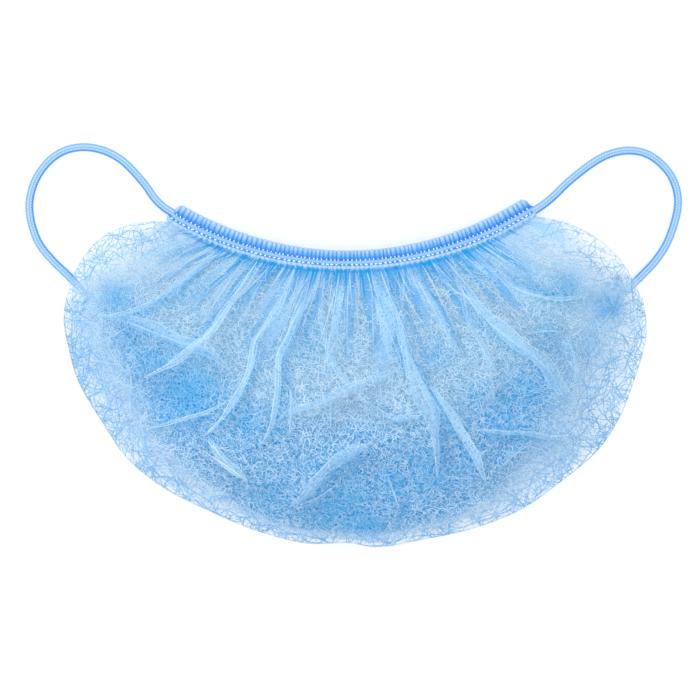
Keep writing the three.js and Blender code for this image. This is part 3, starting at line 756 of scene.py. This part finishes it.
def cloth_rows():
    """The sheet as a grid of points, front layer first, with its values for the materials."""
    across = np.linspace(0, 1, CLOTH_COLUMNS + 1)[None, :]
    start_share = CLOTH_START_INSET + (1 - 2 * CLOTH_START_INSET) * across
    start = band_point(start_share, CLOTH_START_ACROSS, CLOTH_START_RISE)
    fold_line = smooth_line(CHIN_FOLD, 0.25)
    place = (across - FAN_OUT * np.sin(2 * np.pi * across)) * (len(fold_line) - 1)
    numbers = np.arange(len(fold_line))
    edge = np.stack([np.interp(place, numbers, fold_line[:, axis]) for axis in (0, 1)], axis=-1)
    inward = left_of(edge[0])[None]
    near_end = np.minimum(across, 1 - across)
    in_corner = np.clip(near_end / CORNER_REACH, 0, 1)
    fold_radius = CORNER_FOLD_RADIUS + (CHIN_FOLD_RADIUS - CORNER_FOLD_RADIUS) * in_corner

    def turned(degrees):
        """Row of points on the round of the chin fold, at an angle above the level of its middle."""
        angle = math.radians(degrees)
        flat = edge + inward * (fold_radius * (1 - math.cos(angle)))[..., None]
        height = CLOTH_LEVEL + fold_radius * (1 + math.sin(angle))
        return np.concatenate([flat, height[..., None]], axis=-1)

    # The front layer, from the band to the chin fold.
    end = turned(CHIN_FOLD_TURNS[0])
    chord = (end - start)[..., :2]
    chord /= np.linalg.norm(chord, axis=-1, keepdims=True)
    bulge = np.where(across < 0.5, LEFT_SHOULDER, -RIGHT_SHOULDER)
    bulge = bulge * np.clip(1 - near_end / SHOULDER_REACH, 0, 1) ** 1.5
    outward = np.stack([chord[..., 1], -chord[..., 0]], axis=-1)
    bend = (start + end)[..., :2] / 2 + outward * bulge[..., None]
    along = np.linspace(0, 1, FRONT_ROWS + 1)[:, None]
    rest = 1 - along
    weights = [(rest**2)[..., None], (2 * rest * along)[..., None], (along**2)[..., None]]
    flat = weights[0] * start[..., :2] + weights[1] * bend + weights[2] * end[..., :2]
    swell = SHOULDER_LIFT + (SWELL_HEIGHT - SHOULDER_LIFT) * np.sin(np.pi * across) ** 0.8
    height = rest * start[..., 2] + along * end[..., 2] + swell * np.sin(np.pi * along)
    # Pleats and dents get lower towards the band, the chin fold and the sides.
    held = np.clip(along / 0.05, 0, 1) * np.clip(rest / 0.10, 0, 1) * np.clip(near_end / 0.06, 0, 1)
    ridge, doubled = pleat_relief(flat)
    height = height + ridge * held
    for x, y, reach, rise in DENTS:
        height += rise * soft_spot(flat, x, y, reach) * held
    height = np.maximum(height, FRONT_LEAST_LEVEL)
    front = np.concatenate([flat, height[..., None]], axis=-1)

    # The back layer, from the chin fold to the hem.
    hem_share = HEM_INSET + (1 - 2 * HEM_INSET) * across
    hem_angle = np.radians(HEM_HALF_ANGLE) * (2 * hem_share - 1)
    hem_radius = HEM_RADIUS + HEM_HALF_WIDTH - HEM_LAP
    hem_x = HEM_CENTRE[0] + hem_radius * np.sin(hem_angle)
    hem_y = HEM_CENTRE[1] - hem_radius * np.cos(hem_angle)
    hem = np.stack([hem_x, hem_y, np.full_like(hem_x, CLOTH_LEVEL)], axis=-1)
    flat_start = turned(-90)
    back_share = np.linspace(0, 1, BACK_ROWS + 1)[:, None, None]
    back = flat_start * (1 - back_share) + hem * back_share
    turns = [turned(degrees) for degrees in CHIN_FOLD_TURNS]
    grid = np.concatenate([front] + turns + [back], axis=0)

    # Values for the materials.
    steps_down = np.linalg.norm(np.diff(flat, axis=0), axis=-1)
    steps_across = np.linalg.norm(np.diff(flat, axis=1), axis=-1)
    from_band = np.vstack([np.zeros((1, steps_down.shape[1])), np.cumsum(steps_down, axis=0)])
    from_left = np.hstack([np.zeros((steps_across.shape[0], 1)), np.cumsum(steps_across, axis=1)])
    rim_at_side = np.where(across < 0.5, RIM_AT_LEFT, RIM_AT_RIGHT)
    rim_reach = RIM_AT_BOTTOM + (rim_at_side - RIM_AT_BOTTOM) * fade(np.abs(2 * across - 1), 0.1, 0.6)
    to_shoulder = np.minimum(from_left, from_left[:, -1:] - from_left) / RIM_AT_SHOULDERS
    to_edge = np.minimum((from_band[-1:] - from_band) / rim_reach, to_shoulder)
    back_run = np.linalg.norm(back[..., :2] - flat_start[..., :2], axis=-1)
    turn_rim = np.array([1.0 if abs(turn) > 30 else 0.75 for turn in CHIN_FOLD_TURNS])
    rim = np.vstack(
        [
            1 - fade(to_edge, 0.1, 1.0),
            np.repeat(turn_rim[:, None], CLOTH_COLUMNS + 1, axis=1),
            1 - fade(back_run / rim_reach, 0.1, 1.0),
        ]
    )
    # The cloth is closer along its two side edges, and at its bluer places, partly cloth on itself and
    # partly painted shade.
    rim[:FRONT_ROWS, [0, 1, -2, -1]] *= 0.5
    gather = 1 - fade(from_band, *GATHER_ZONE)
    root = 1 - fade(from_band, *ROOT_ZONE)
    # Bluer: painted shade in the gathers and under the band, the doubled cloth beside the pleats, and the
    # places below.
    doubling_and_shade = np.maximum(0.8 * doubled, np.maximum(0.4 * gather, 0.9 * root))
    for x, y, reach, depth in TINTS:
        patch = depth * soft_spot(flat, x, y, reach)
        doubling_and_shade = np.maximum(doubling_and_shade, patch)
        rim[:FRONT_ROWS + 1] *= 1 - 0.7 * patch
    from_hem = np.hypot(flat[..., 0] - HEM_CENTRE[0], flat[..., 1] - HEM_CENTRE[1]) - HEM_RADIUS
    behind = np.zeros((len(turns) + BACK_ROWS + 1, CLOTH_COLUMNS + 1))
    return grid, {
        "rim": rim,
        "doubling_and_shade": np.vstack([doubling_and_shade, behind]),
        "gather": np.vstack([gather, behind]),
        "back_layer_and_shade": np.vstack([fade(from_hem, *DOUBLE_ZONE), behind + 1.0]),
        "back": np.vstack([np.zeros(height.shape), behind + 1.0]),
    }


def film_material():
    material, tree, shader = new_material("sheer_cloth")
    rim = point_value(tree, "rim")
    doubling_and_shade = point_value(tree, "doubling_and_shade")
    back_layer_and_shade = point_value(tree, "back_layer_and_shade")
    felt = felt_mask(tree, 950.0, 0.18)
    # Painted shade: bluer towards the back layer and at the bluer places, and more opaque inside the rim.
    film = blend(tree, doubling_and_shade, blend(tree, back_layer_and_shade, FILM_UPPER, FILM_LOWER), FILM_DOUBLED_AND_SHADED)
    lines = blend(tree, doubling_and_shade, blend(tree, back_layer_and_shade, FELT_UPPER, FELT_LOWER), FELT_DOUBLED_AND_SHADED)
    colour = blend(tree, rim, blend(tree, felt, film, lines), FILM_RIM)
    closeness = ranged(tree, calc(tree, "POWER", rim, 0.65), 0.80, 0.10)
    cloud = add(tree, "TexNoise", {"Scale": 90.0, "Detail": 3.0})
    patchy = ranged(tree, cloud.outputs["Fac"], 0.85, 1.15, start=0.3, end=0.7)
    sheer = calc(tree, "MULTIPLY", closeness, patchy)
    whole = calc(tree, "MULTIPLY_ADD", doubling_and_shade, 0.25, sheer, clamped=True)
    torn = add(tree, "Mix", {"Factor": rim, "A": 1.0, "B": ranged(tree, felt, 0.25, 1.35)})
    alpha = calc(tree, "MULTIPLY", whole, torn.outputs["Result"], clamped=True)
    set_inputs(tree, shader, {
        "Base Color": colour,
        "Alpha": alpha,
        "Roughness": 0.85,
        "Specular IOR Level": 0.2,
    })
    return material


cloth_grid, cloth_values = cloth_rows()
pouch = mesh_piece(
    "pouch_film",
    cloth_grid.reshape(-1, 3),
    grid_faces(len(cloth_grid), CLOTH_COLUMNS + 1).tolist(),
    film_material(),
    **cloth_values,
)
pouch.visible_shadow = False
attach(pouch, "root")
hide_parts("pouch_front", "pouch_back")

# Folds: where the gathered sheet doubles over and lies on itself, held by the band's stitches.
# Long pleats run down the front. Short gathers leave the band side by side, with strips of painted shade,
# deep slits of painted shade and sharp creases between them, and small folds spread like stars, with
# painted shade between their rays, where the ear loops pull at the cloth.
FOLD_SEED = 31
GATHER_COUNT = 66
# Columns of the cloth's grid at its two sides where no gather runs, no shade begins and slits are narrower.
GATHER_MARGIN = 10
SHADE_MARGIN = 40
SLIT_MARGIN = 60
# How many of the gathers are raised, and how many have a shade beside them.
RAISED_SHARE = 0.55
SHADED_SHARE = 0.7
# Least and greatest lengths, in hundredths of the front layer's run from the band to the chin fold.
RAISED_LENGTH = (15, 50)
SHADE_LENGTH = (14, 45)
SLIT_LENGTH = (6, 14)
# The same for the short and the long crease beside each gather: both least lengths, both greatest ones.
CREASE_LENGTHS = ((6, 15), (15, 50))
# A pleat that begins this close under the band is led up to its lower edge.
LEAD_REACH = 8.0
LEAD_ACROSS = -3.4
ROOT_LINE_ACROSS = -4.3
PUCKERS = [
    # x, y, count, reach
    (-103.5, 25.2, 12, 5.5),
    (97.0, 24.5, 16, 10.0),
    (97.5, 34.5, 7, 6.0),
]
FOLD_STEP = 0.6
FOLD_PALE = paint(148, 205, 241)
FOLD_EDGE = paint(204, 230, 247)
FOLD_RIM = paint(172, 212, 240)
FOLD_PAINTED_SHADE = paint(0, 158, 224)
# Section of a fold: which edge a point is measured from, how far in, its lift off the sheet, how bright
# its edge is, and how much it covers. The edge on the left of the line is the soft one.
FOLD_SECTION = np.array([
    # side, inset, lift, edge, cover
    (-1.0, 0.00, 0.10, 0.30, 0.90),
    (-1.0, 0.15, 0.25, 0.80, 1.00),
    (-1.0, 0.36, 0.35, 0.00, 1.00),
    (0.0, 0.00, 0.50, 0.00, 0.95),
    (1.0, 0.36, 0.60, 0.00, 0.80),
    (1.0, 0.15, 0.60, 0.35, 0.70),
    (1.0, 0.00, 0.50, 0.10, 0.30),
])
# Section of a sharp crease, in the same columns.
CREASE_SECTION = np.array([
    (-1.0, 0.00, 0.55, 0.30, 0.30),
    (0.0, 0.00, 0.70, 1.00, 0.60),
    (1.0, 0.00, 0.55, 0.30, 0.30),
])
# Folds of less than this half width have the section of a crease.
CREASE_BELOW = 0.48
# Slits lie a little above the folds beside them, so that they show, and shades a little below.
SLIT_LIFT = 0.3
SHADE_LIFT = -0.05


def fold_material():
    material, tree, shader = new_material("laid_fold")
    edge = point_value(tree, "edge")
    felt = felt_mask(tree, 800.0, 0.2)
    bright = calc(tree, "MULTIPLY_ADD", felt, 0.4, edge, clamped=True)
    body = blend(tree, bright, FOLD_PALE, FOLD_EDGE)
    ends = blend(tree, point_value(tree, "rim"), body, FOLD_RIM)
    # Painted shade: slits between gathers and under the band in full, strips beside gathers and pucker rays
    # paler.
    colour = blend(tree, point_value(tree, "gap_shade"), ends, FOLD_PAINTED_SHADE)
    inner = calc(tree, "MULTIPLY", ranged(tree, felt, 0.40, 0.90), point_value(tree, "fill"))
    alpha = calc(tree, "MULTIPLY_ADD", edge, 0.75, inner, clamped=True)
    set_inputs(tree, shader, {
        "Base Color": colour,
        "Alpha": alpha,
        "Roughness": 0.8,
        "Specular IOR Level": 0.2,
    })
    return material


def cloth_at(field, row, column):
    """Value of a field of the cloth's grid at places between its points."""
    row = np.clip(row, 0, field.shape[0] - 1.001)
    column = np.clip(column, 0, field.shape[1] - 1.001)
    above = row.astype(int)
    left = column.astype(int)
    extra = (1,) * (field.ndim - 2)
    down = (row - above).reshape(*row.shape, *extra)
    over = (column - left).reshape(*row.shape, *extra)
    upper = field[above, left] * (1 - over) + field[above, left + 1] * over
    lower = field[above + 1, left] * (1 - over) + field[above + 1, left + 1] * over
    return upper * (1 - down) + lower * down


front_tree = BVHTree.FromPolygons(
    cloth_grid[:FRONT_ROWS + 1].reshape(-1, 3).tolist(),
    grid_faces(FRONT_ROWS + 1, CLOTH_COLUMNS + 1).tolist(),
)


def on_front(flat):
    """Height and rim value of the front layer under rows of places; past its edge, the nearest row's."""
    height = np.full(flat.shape[:2], np.nan)
    rim = np.ones(flat.shape[:2])
    for place in np.ndindex(height.shape):
        spot, _, face, _ = front_tree.ray_cast((*flat[place].tolist(), 90.0), (0.0, 0.0, -1.0))
        if spot is not None:
            height[place] = spot.z
            rim[place] = cloth_values["rim"][face // CLOTH_COLUMNS, face % CLOTH_COLUMNS]
    rows = np.arange(len(flat))
    for column in height.T:
        found = np.isfinite(column)
        column[:] = np.interp(rows, rows[found], column[found]) if found.any() else FRONT_LEAST_LEVEL
    return height, rim


fold_draw = np.random.default_rng(FOLD_SEED)


def fold_strip(line, half_width, begin, finish, edge_shown, fill_shown, gap_shade=0.0, spread=0.0, turn=1):
    """Points and values of one fold along a line.

    It narrows over the shares begin and finish at its ends; with a spread it widens and fades out instead.
    A gap shade of 1 paints a slit in shade, less a paler shade. A turn of -1 has the soft edge on the
    line's right.
    """
    middle = smooth_line(line, FOLD_STEP)
    share = np.linspace(0, 1, len(middle))
    narrow = np.minimum(1, share / begin) ** 0.7 * np.minimum(1, (1 - share) / finish) ** 0.8
    shown = narrow if spread or gap_shade else np.minimum(1, 3 * narrow)
    width = half_width * (1 + spread * share if spread else narrow)
    section = CREASE_SECTION if half_width < CREASE_BELOW else FOLD_SECTION
    side, inset, lift, edge, cover = section.T
    side = side * turn
    sway = np.where(side < 0, *fold_draw.uniform(0, 2 * math.pi, 2))
    uneven = 1 + 0.22 * np.sin(np.arange(len(middle))[:, None] * FOLD_STEP / 3.2 + sway)
    place = side * np.maximum(width[:, None] * uneven - inset, 0.02)
    flat = middle[:, None, :] + place[..., None] * left_of(middle)[:, None, :]
    height, rim = on_front(flat)
    height = height + lift
    if gap_shade:
        height += SLIT_LIFT if gap_shade == 1.0 else SHADE_LIFT
    points = np.concatenate([flat, height[..., None]], axis=-1)
    knots = max(3, len(middle) // 14)
    drawn = fold_draw.uniform(0.45, 1.0, (knots, len(side)))
    spots = np.arange(knots) / (knots - 1)
    streaks = np.column_stack([np.interp(share, spots, column) for column in drawn.T])
    values = {
        "edge": edge * edge_shown * shown[:, None] * streaks,
        "fill": cover * fill_shown * shown[:, None] * (1.0 if gap_shade else streaks),
        "rim": rim,
        "gap_shade": np.full(rim.shape, gap_shade),
    }
    return points, values


def led_to_band(line):
    """A pleat's line, led up to the band if it begins close under it, and over what share it widens."""
    x, y = line[0]
    angle = math.degrees(math.atan2(x - BAND_CENTRE[0], BAND_CENTRE[1] - y))
    top = band_point(0.5 + (angle - BAND_TURN) / (2 * BAND_HALF_ANGLE), LEAD_ACROSS, 0.0)[:2]
    if math.dist(top, line[0]) > LEAD_REACH:
        return line, 0.35
    return [tuple(top)] + line, 0.02


def gather_line(column, length):
    """Points along the cloth's own run, down from the band at a column of its grid."""
    rows = np.linspace(0, length / 100 * FRONT_ROWS, 8)
    columns = column + fold_draw.normal(0, 0.14) * rows
    columns = np.clip(columns, GATHER_MARGIN, CLOTH_COLUMNS - GATHER_MARGIN)
    return cloth_at(cloth_grid[..., :2], rows, columns)


def crease_in_pleat(line, half_width):
    """Line of a crease along part of a pleat, from one place across its width to another."""
    middle = smooth_line(line, 2.0)
    start, end = fold_draw.uniform((0.0, 0.65), (0.35, 1.0)) * len(middle)
    part = middle[int(start):max(int(end), int(start) + 3)]
    shift = half_width * np.linspace(*fold_draw.uniform(-0.9, 0.9, 2), len(part))
    return part + shift[:, None] * left_of(part)


# Each fold: line, half_width, begin, finish, edge_shown, fill_shown, and painted gap shade, spread and turn
# if any.
folds = []
for line, half_width, bright, doubled in PLEATS:
    line, begin = led_to_band(line)
    turn = math.copysign(1, doubled or fold_draw.uniform(-1, 1))
    if half_width < CREASE_BELOW:
        folds.append((line, half_width, begin, 0.25, 1.1 * bright, 1.1 * bright, 0.0, 0.0, turn))
    else:
        folds.append((line, 1.2 * half_width, begin, 0.25, 1.6 * bright, 1.1 * bright, 0.0, 0.0, turn))
    for _ in range(round(1.8 * half_width)):
        shown = bright * fold_draw.uniform(0.4, 1.2)
        crease = crease_in_pleat(line, half_width)
        folds.append((crease, fold_draw.uniform(0.2, 0.4), 0.2, 0.3, shown, 0.3))
gather_edges = np.cumsum(fold_draw.uniform(0.5, 1.5, GATHER_COUNT + 1))
gather_edges *= CLOTH_COLUMNS / gather_edges[-1]
for left, right in zip(gather_edges[:-1], gather_edges[1:]):
    half_width = (right - left) / CLOTH_COLUMNS * band_length / 2
    if fold_draw.random() < RAISED_SHARE:
        gather = gather_line((left + right) / 2, fold_draw.uniform(*RAISED_LENGTH))
        edge_shown, fill_shown = fold_draw.uniform(0.8, 1.6, 2)
        wide = fold_draw.uniform(0.7, 1.4) * half_width
        folds.append((gather, wide, 0.25, 0.8, edge_shown, fill_shown, 0.0, 1.1))
    # A strip of painted shade beside most gathers, and a slit of painted shade at the right of each.
    if SHADE_MARGIN < right < CLOTH_COLUMNS - SHADE_MARGIN and fold_draw.random() < SHADED_SHARE:
        shade = gather_line(right + fold_draw.uniform(0, 3), fold_draw.uniform(*SHADE_LENGTH))
        folds.append((shade, fold_draw.uniform(0.7, 1.5), 0.02, 1.0, 0.0, 1.1, 0.75, 0.7))
    gap_shade = gather_line(right, fold_draw.uniform(*SLIT_LENGTH))
    near_side = min(1, right / SLIT_MARGIN, (CLOTH_COLUMNS - right) / SLIT_MARGIN + 0.1)
    folds.append((gap_shade, fold_draw.uniform(0.35, 0.85) * near_side, 0.02, 1.0, 0.0, 1.6, 1.0))
    for length in fold_draw.uniform(*CREASE_LENGTHS):
        crease = gather_line(right + fold_draw.uniform(-3, 3), length)
        folds.append((crease, fold_draw.uniform(0.2, 0.45), 0.25, 0.8, fold_draw.uniform(0.5, 1.3), 0.3))
# A line of painted shadow along the band's lower edge.
root_line = band_point(np.linspace(0.01, 0.99, 60), ROOT_LINE_ACROSS, 0.0)[:, :2]
folds.append((root_line, 0.4, 0.06, 0.06, 0.0, 1.2, 1.0))
for x, y, count, reach in PUCKERS:
    angles = np.arange(count) * 2 * math.pi / count + fold_draw.uniform(0, 0.5, count)
    # Every second ray is a strip of painted shade between the pucker's folds.
    for angle, shade in zip(angles, np.arange(count) % 2):
        ray = np.array([math.cos(angle), math.sin(angle)])
        far = reach * fold_draw.uniform(0.6, 1.2)
        line = np.array([x, y]) + np.array([0.8, 0.4 * far, far])[:, None] * ray
        if shade:
            folds.append((line, 0.7, 0.2, 0.9, 0.0, 0.9, 0.6))
        else:
            folds.append((line, 0.5, 0.4, 0.6, 0.8, 0.8))

fold_points = []
fold_faces = []
fold_values = {"edge": [], "fill": [], "rim": [], "gap_shade": []}
point_count = 0
for fold in folds:
    points, values = fold_strip(*fold)
    fold_points.append(points.reshape(-1, 3))
    fold_faces.append(grid_faces(*points.shape[:2]) + point_count)
    point_count += len(fold_points[-1])
    for label, value in values.items():
        fold_values[label].append(np.ravel(value))
pouch_folds = mesh_piece(
    "pouch_folds",
    np.vstack(fold_points),
    np.vstack(fold_faces).tolist(),
    fold_material(),
    **{label: np.concatenate(value) for label, value in fold_values.items()},
)
pouch_folds.visible_shadow = False
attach(pouch_folds, "root")

# Fibres: the spun threads of the cloth, laid at random and bonded where they cross.
# Long straight ones show at the see-through rim, short curly ones felt the rest together.
# Fibre tones; the lower ones and the blue one take in painted shade under the front layer and at the bluer
# places.
UPPER_FIBRE_DARK = paint(128, 181, 218)
UPPER_FIBRE_PALE = paint(200, 223, 238)
LOWER_FIBRE_DARK = paint(100, 172, 223)
LOWER_FIBRE_PALE = paint(202, 226, 243)
RIM_FIBRE_DARK = paint(92, 168, 224)
RIM_FIBRE_PALE = paint(156, 202, 234)
FIBRE_DOUBLED_AND_SHADED = paint(96, 178, 230)
# How high the loosest fibres stand off the cloth, and the length over which a fibre keeps its bend.
FIBRE_LIFT = 0.7
BEND_LENGTH = 1.6
# Fibres stop where the share of them that belongs there is lower than this.
LEAST_DENSITY = 0.06
# Steps of an even sequence over a square, from the root of x**3 = x + 1.
EVEN_STEPS = (0.7548776662, 0.5698402910)


def fibre_material():
    material, tree, shader = new_material("spun_fibre")
    shade = point_value(tree, "shade")
    upper = blend(tree, shade, UPPER_FIBRE_DARK, UPPER_FIBRE_PALE)
    lower = blend(tree, shade, LOWER_FIBRE_DARK, LOWER_FIBRE_PALE)
    outer = blend(tree, shade, RIM_FIBRE_DARK, RIM_FIBRE_PALE)
    # Painted shade: fibres over the back layer and at the bluer places turn bluer.
    body = blend(tree, point_value(tree, "back_layer_and_shade"), upper, lower)
    bluer = blend(tree, calc(tree, "MULTIPLY", point_value(tree, "doubling_and_shade"), 0.65), body, FIBRE_DOUBLED_AND_SHADED)
    at_rim = ranged(tree, point_value(tree, "rim"), 0.0, 1.0, start=0.45, end=0.85)
    set_inputs(tree, shader, {
        "Base Color": blend(tree, at_rim, bluer, outer),
        "Roughness": 0.7,
        "Specular IOR Level": 0.3,
    })
    return material


rim_share = cloth_values["rim"]
on_back = cloth_values["back"]
cloth_across = np.gradient(cloth_grid, axis=1)
cloth_down = np.gradient(cloth_grid, axis=0)
cloth_normal = np.cross(cloth_down, cloth_across)
cloth_area = np.linalg.norm(cloth_normal, axis=-1)
cloth_normal /= np.maximum(cloth_area, 1e-9)[..., None]
width_unit = np.linalg.norm(cloth_across, axis=-1)
across_unit = cloth_across / np.maximum(width_unit, 1e-6)[..., None]
down_skew = (cloth_down * across_unit).sum(axis=-1)
down_unit = np.linalg.norm(cloth_down - down_skew[..., None] * across_unit, axis=-1)
walk_field = np.stack([width_unit, down_skew, down_unit], axis=-1)


def lay_fibres(name, total, length, step, curl, width, density, material, seed):
    """Ribbons of fibres, total millimetres in all, laid by seeded walks from evenly spread starts."""
    draw = np.random.default_rng(seed)
    count = int(total / length)
    weight = (cloth_area * density)[:-1, :-1] + 1e-9
    row_end = np.cumsum(weight.sum(axis=1))
    column_end = np.cumsum(weight, axis=1)
    down_share, along_share = (np.arange(count)[:, None] * EVEN_STEPS + draw.random((1, 2))).T % 1
    row = np.searchsorted(row_end, down_share * row_end[-1])
    column = (column_end[row] < along_share[:, None] * column_end[row, -1:]).sum(axis=1)
    row = row + draw.random(count)
    column = column + draw.random(count)
    heading = draw.uniform(0, 2 * math.pi, count)
    bend = draw.normal(0, curl, count)
    keep = math.exp(-step / BEND_LENGTH)
    lengths = length * draw.uniform(0.5, 1.5, count)
    rows = [row]
    columns = [column]
    whole = [np.ones(count, bool)]
    for number in range(int(1.5 * length / step)):
        # A step in millimetres becomes rows and columns by the size and skew of the grid's cells.
        wide, skew, deep = np.moveaxis(cloth_at(walk_field, row, column), -1, 0)
        down = np.clip(step * np.sin(heading) / np.maximum(deep, 0.05), -4, 4)
        row = row + down
        column = column + np.clip((step * np.cos(heading) - skew * down) / np.maximum(wide, 0.05), -6, 6)
        bend = keep * bend + math.sqrt(1 - keep**2) * draw.normal(0, curl, count)
        heading = heading + bend * step
        on_cloth = (row > 0) & (row < len(cloth_grid) - 1) & (column > 0) & (column < CLOTH_COLUMNS)
        at_home = on_cloth & (cloth_at(density, row, column) > LEAST_DENSITY)
        whole.append(whole[-1] & at_home & ((number + 1) * step < lengths))
        rows.append(row)
        columns.append(column)
    rows = np.array(rows)
    columns = np.array(columns)
    whole = np.array(whole)
    middle = cloth_at(cloth_grid, rows, columns)
    normal = cloth_at(cloth_normal, rows, columns)
    side = np.cross(normal, np.gradient(middle, axis=0))
    side /= np.maximum(np.linalg.norm(side, axis=-1, keepdims=True), 1e-9)
    half = 0.5 * width * draw.uniform(0.7, 1.3, count)[None, :, None]
    lift = FIBRE_LIFT * draw.random(count) ** 5 * (1 - cloth_at(on_back, rows, columns))
    middle = middle + normal * lift[..., None]
    points = np.stack([middle - side * half, middle + side * half], axis=2)
    values = {"shade": np.broadcast_to(draw.random(count)[None, :, None] ** 0.6, points.shape[:3])}
    for label in ("rim", "doubling_and_shade", "back_layer_and_shade"):
        value = cloth_at(cloth_values[label], rows, columns)
        values[label] = np.broadcast_to(value[..., None], points.shape[:3])
    numbers = np.arange(points.shape[0] * count * 2).reshape(points.shape[0], count, 2)
    corners = [numbers[:-1, :, 0], numbers[:-1, :, 1], numbers[1:, :, 1], numbers[1:, :, 0]]
    used, faces = np.unique(np.stack(corners, axis=-1)[whole[1:]], return_inverse=True)
    fibres = mesh_piece(
        name,
        points.reshape(-1, 3)[used],
        faces.reshape(-1, 4).tolist(),
        material,
        **{label: value.reshape(-1)[used] for label, value in values.items()},
    )
    fibres.visible_shadow = False
    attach(fibres, "root")
    return fibres


spun_fibre = fibre_material()
inner_density = (1 - 0.9 * rim_share) * (1 - 0.75 * on_back) * (1 - 0.6 * cloth_values["gather"])
# Fewer fibres where the cloth is bluer, so that its painted shade shows through.
inner_density *= 1 - 0.45 * np.minimum(1, cloth_values["doubling_and_shade"])
long_density = np.minimum(1, 1.5 * rim_share) * (1 - 0.4 * on_back)
long_density *= np.linspace(1.0, 0.5, CLOTH_COLUMNS + 1)
long_density *= np.interp(np.arange(len(cloth_grid)), [60, 140], [0.6, 1.0])[:, None]
short_kind = {"total": 36000, "length": 3.2, "step": 0.4, "curl": 0.8, "width": 0.21}
long_kind = {"total": 17000, "length": 14.0, "step": 0.8, "curl": 0.13, "width": 0.27}
fibres = [
    lay_fibres("fibres_short_one", **short_kind, density=inner_density, material=spun_fibre, seed=41),
    lay_fibres("fibres_short_two", **short_kind, density=inner_density, material=spun_fibre, seed=43),
    lay_fibres("fibres_long", **long_kind, density=long_density, material=spun_fibre, seed=42),
]

# Back hem: the back edge of the mouth, the same sheer cloth turned over in a plain narrow hem.
# It lies on the table under the front layer, from the lower end of one ear loop to that of the other.
HEM_HEIGHT = 0.8
HEM_HALF_THICKNESS = 0.8
HEM_STEP = 0.5
HEM_SIDES = 14
HEM_FOLD_PITCH = 3.0
HEM_SEED = 51
HEM_DARK = paint(150, 198, 236)
HEM_PALE = paint(206, 228, 247)


def hem_material():
    material, tree, shader = new_material("hemmed_cloth")
    felt = felt_mask(tree, 800.0, 0.2)
    set_inputs(tree, shader, {
        "Base Color": blend(tree, felt, HEM_DARK, HEM_PALE),
        "Alpha": ranged(tree, felt, 0.30, 0.80),
        "Roughness": 0.85,
        "Specular IOR Level": 0.2,
    })
    return material


hem_length = HEM_RADIUS * math.radians(2 * HEM_HALF_ANGLE)
hem_run = np.linspace(0, hem_length, round(hem_length / HEM_STEP) + 1)
hem_wave = fold_wave(hem_run, HEM_FOLD_PITCH, HEM_SEED)
hem_turn = np.linspace(0, 2 * math.pi, HEM_SIDES, endpoint=False)[None, :]
hem_angle = np.radians(HEM_HALF_ANGLE) * (2 * hem_run / hem_length - 1)[:, None]
hem_over = HEM_HALF_WIDTH * np.cos(hem_turn)
hem_rise = HEM_HALF_THICKNESS * (0.72 + 0.28 * hem_wave[:, None]) * np.sin(hem_turn)
hem_points = np.stack(
    np.broadcast_arrays(
        HEM_CENTRE[0] + (HEM_RADIUS - hem_over) * np.sin(hem_angle),
        HEM_CENTRE[1] - (HEM_RADIUS - hem_over) * np.cos(hem_angle),
        HEM_HEIGHT + hem_rise,
    ),
    axis=-1,
)
hem_faces = tube_faces(len(hem_run), HEM_SIDES)
back_hem = mesh_piece("back_hem_cloth", hem_points.reshape(-1, 3), hem_faces, hem_material())
back_hem.visible_shadow = False
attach(back_hem, "root")
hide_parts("back_hem")
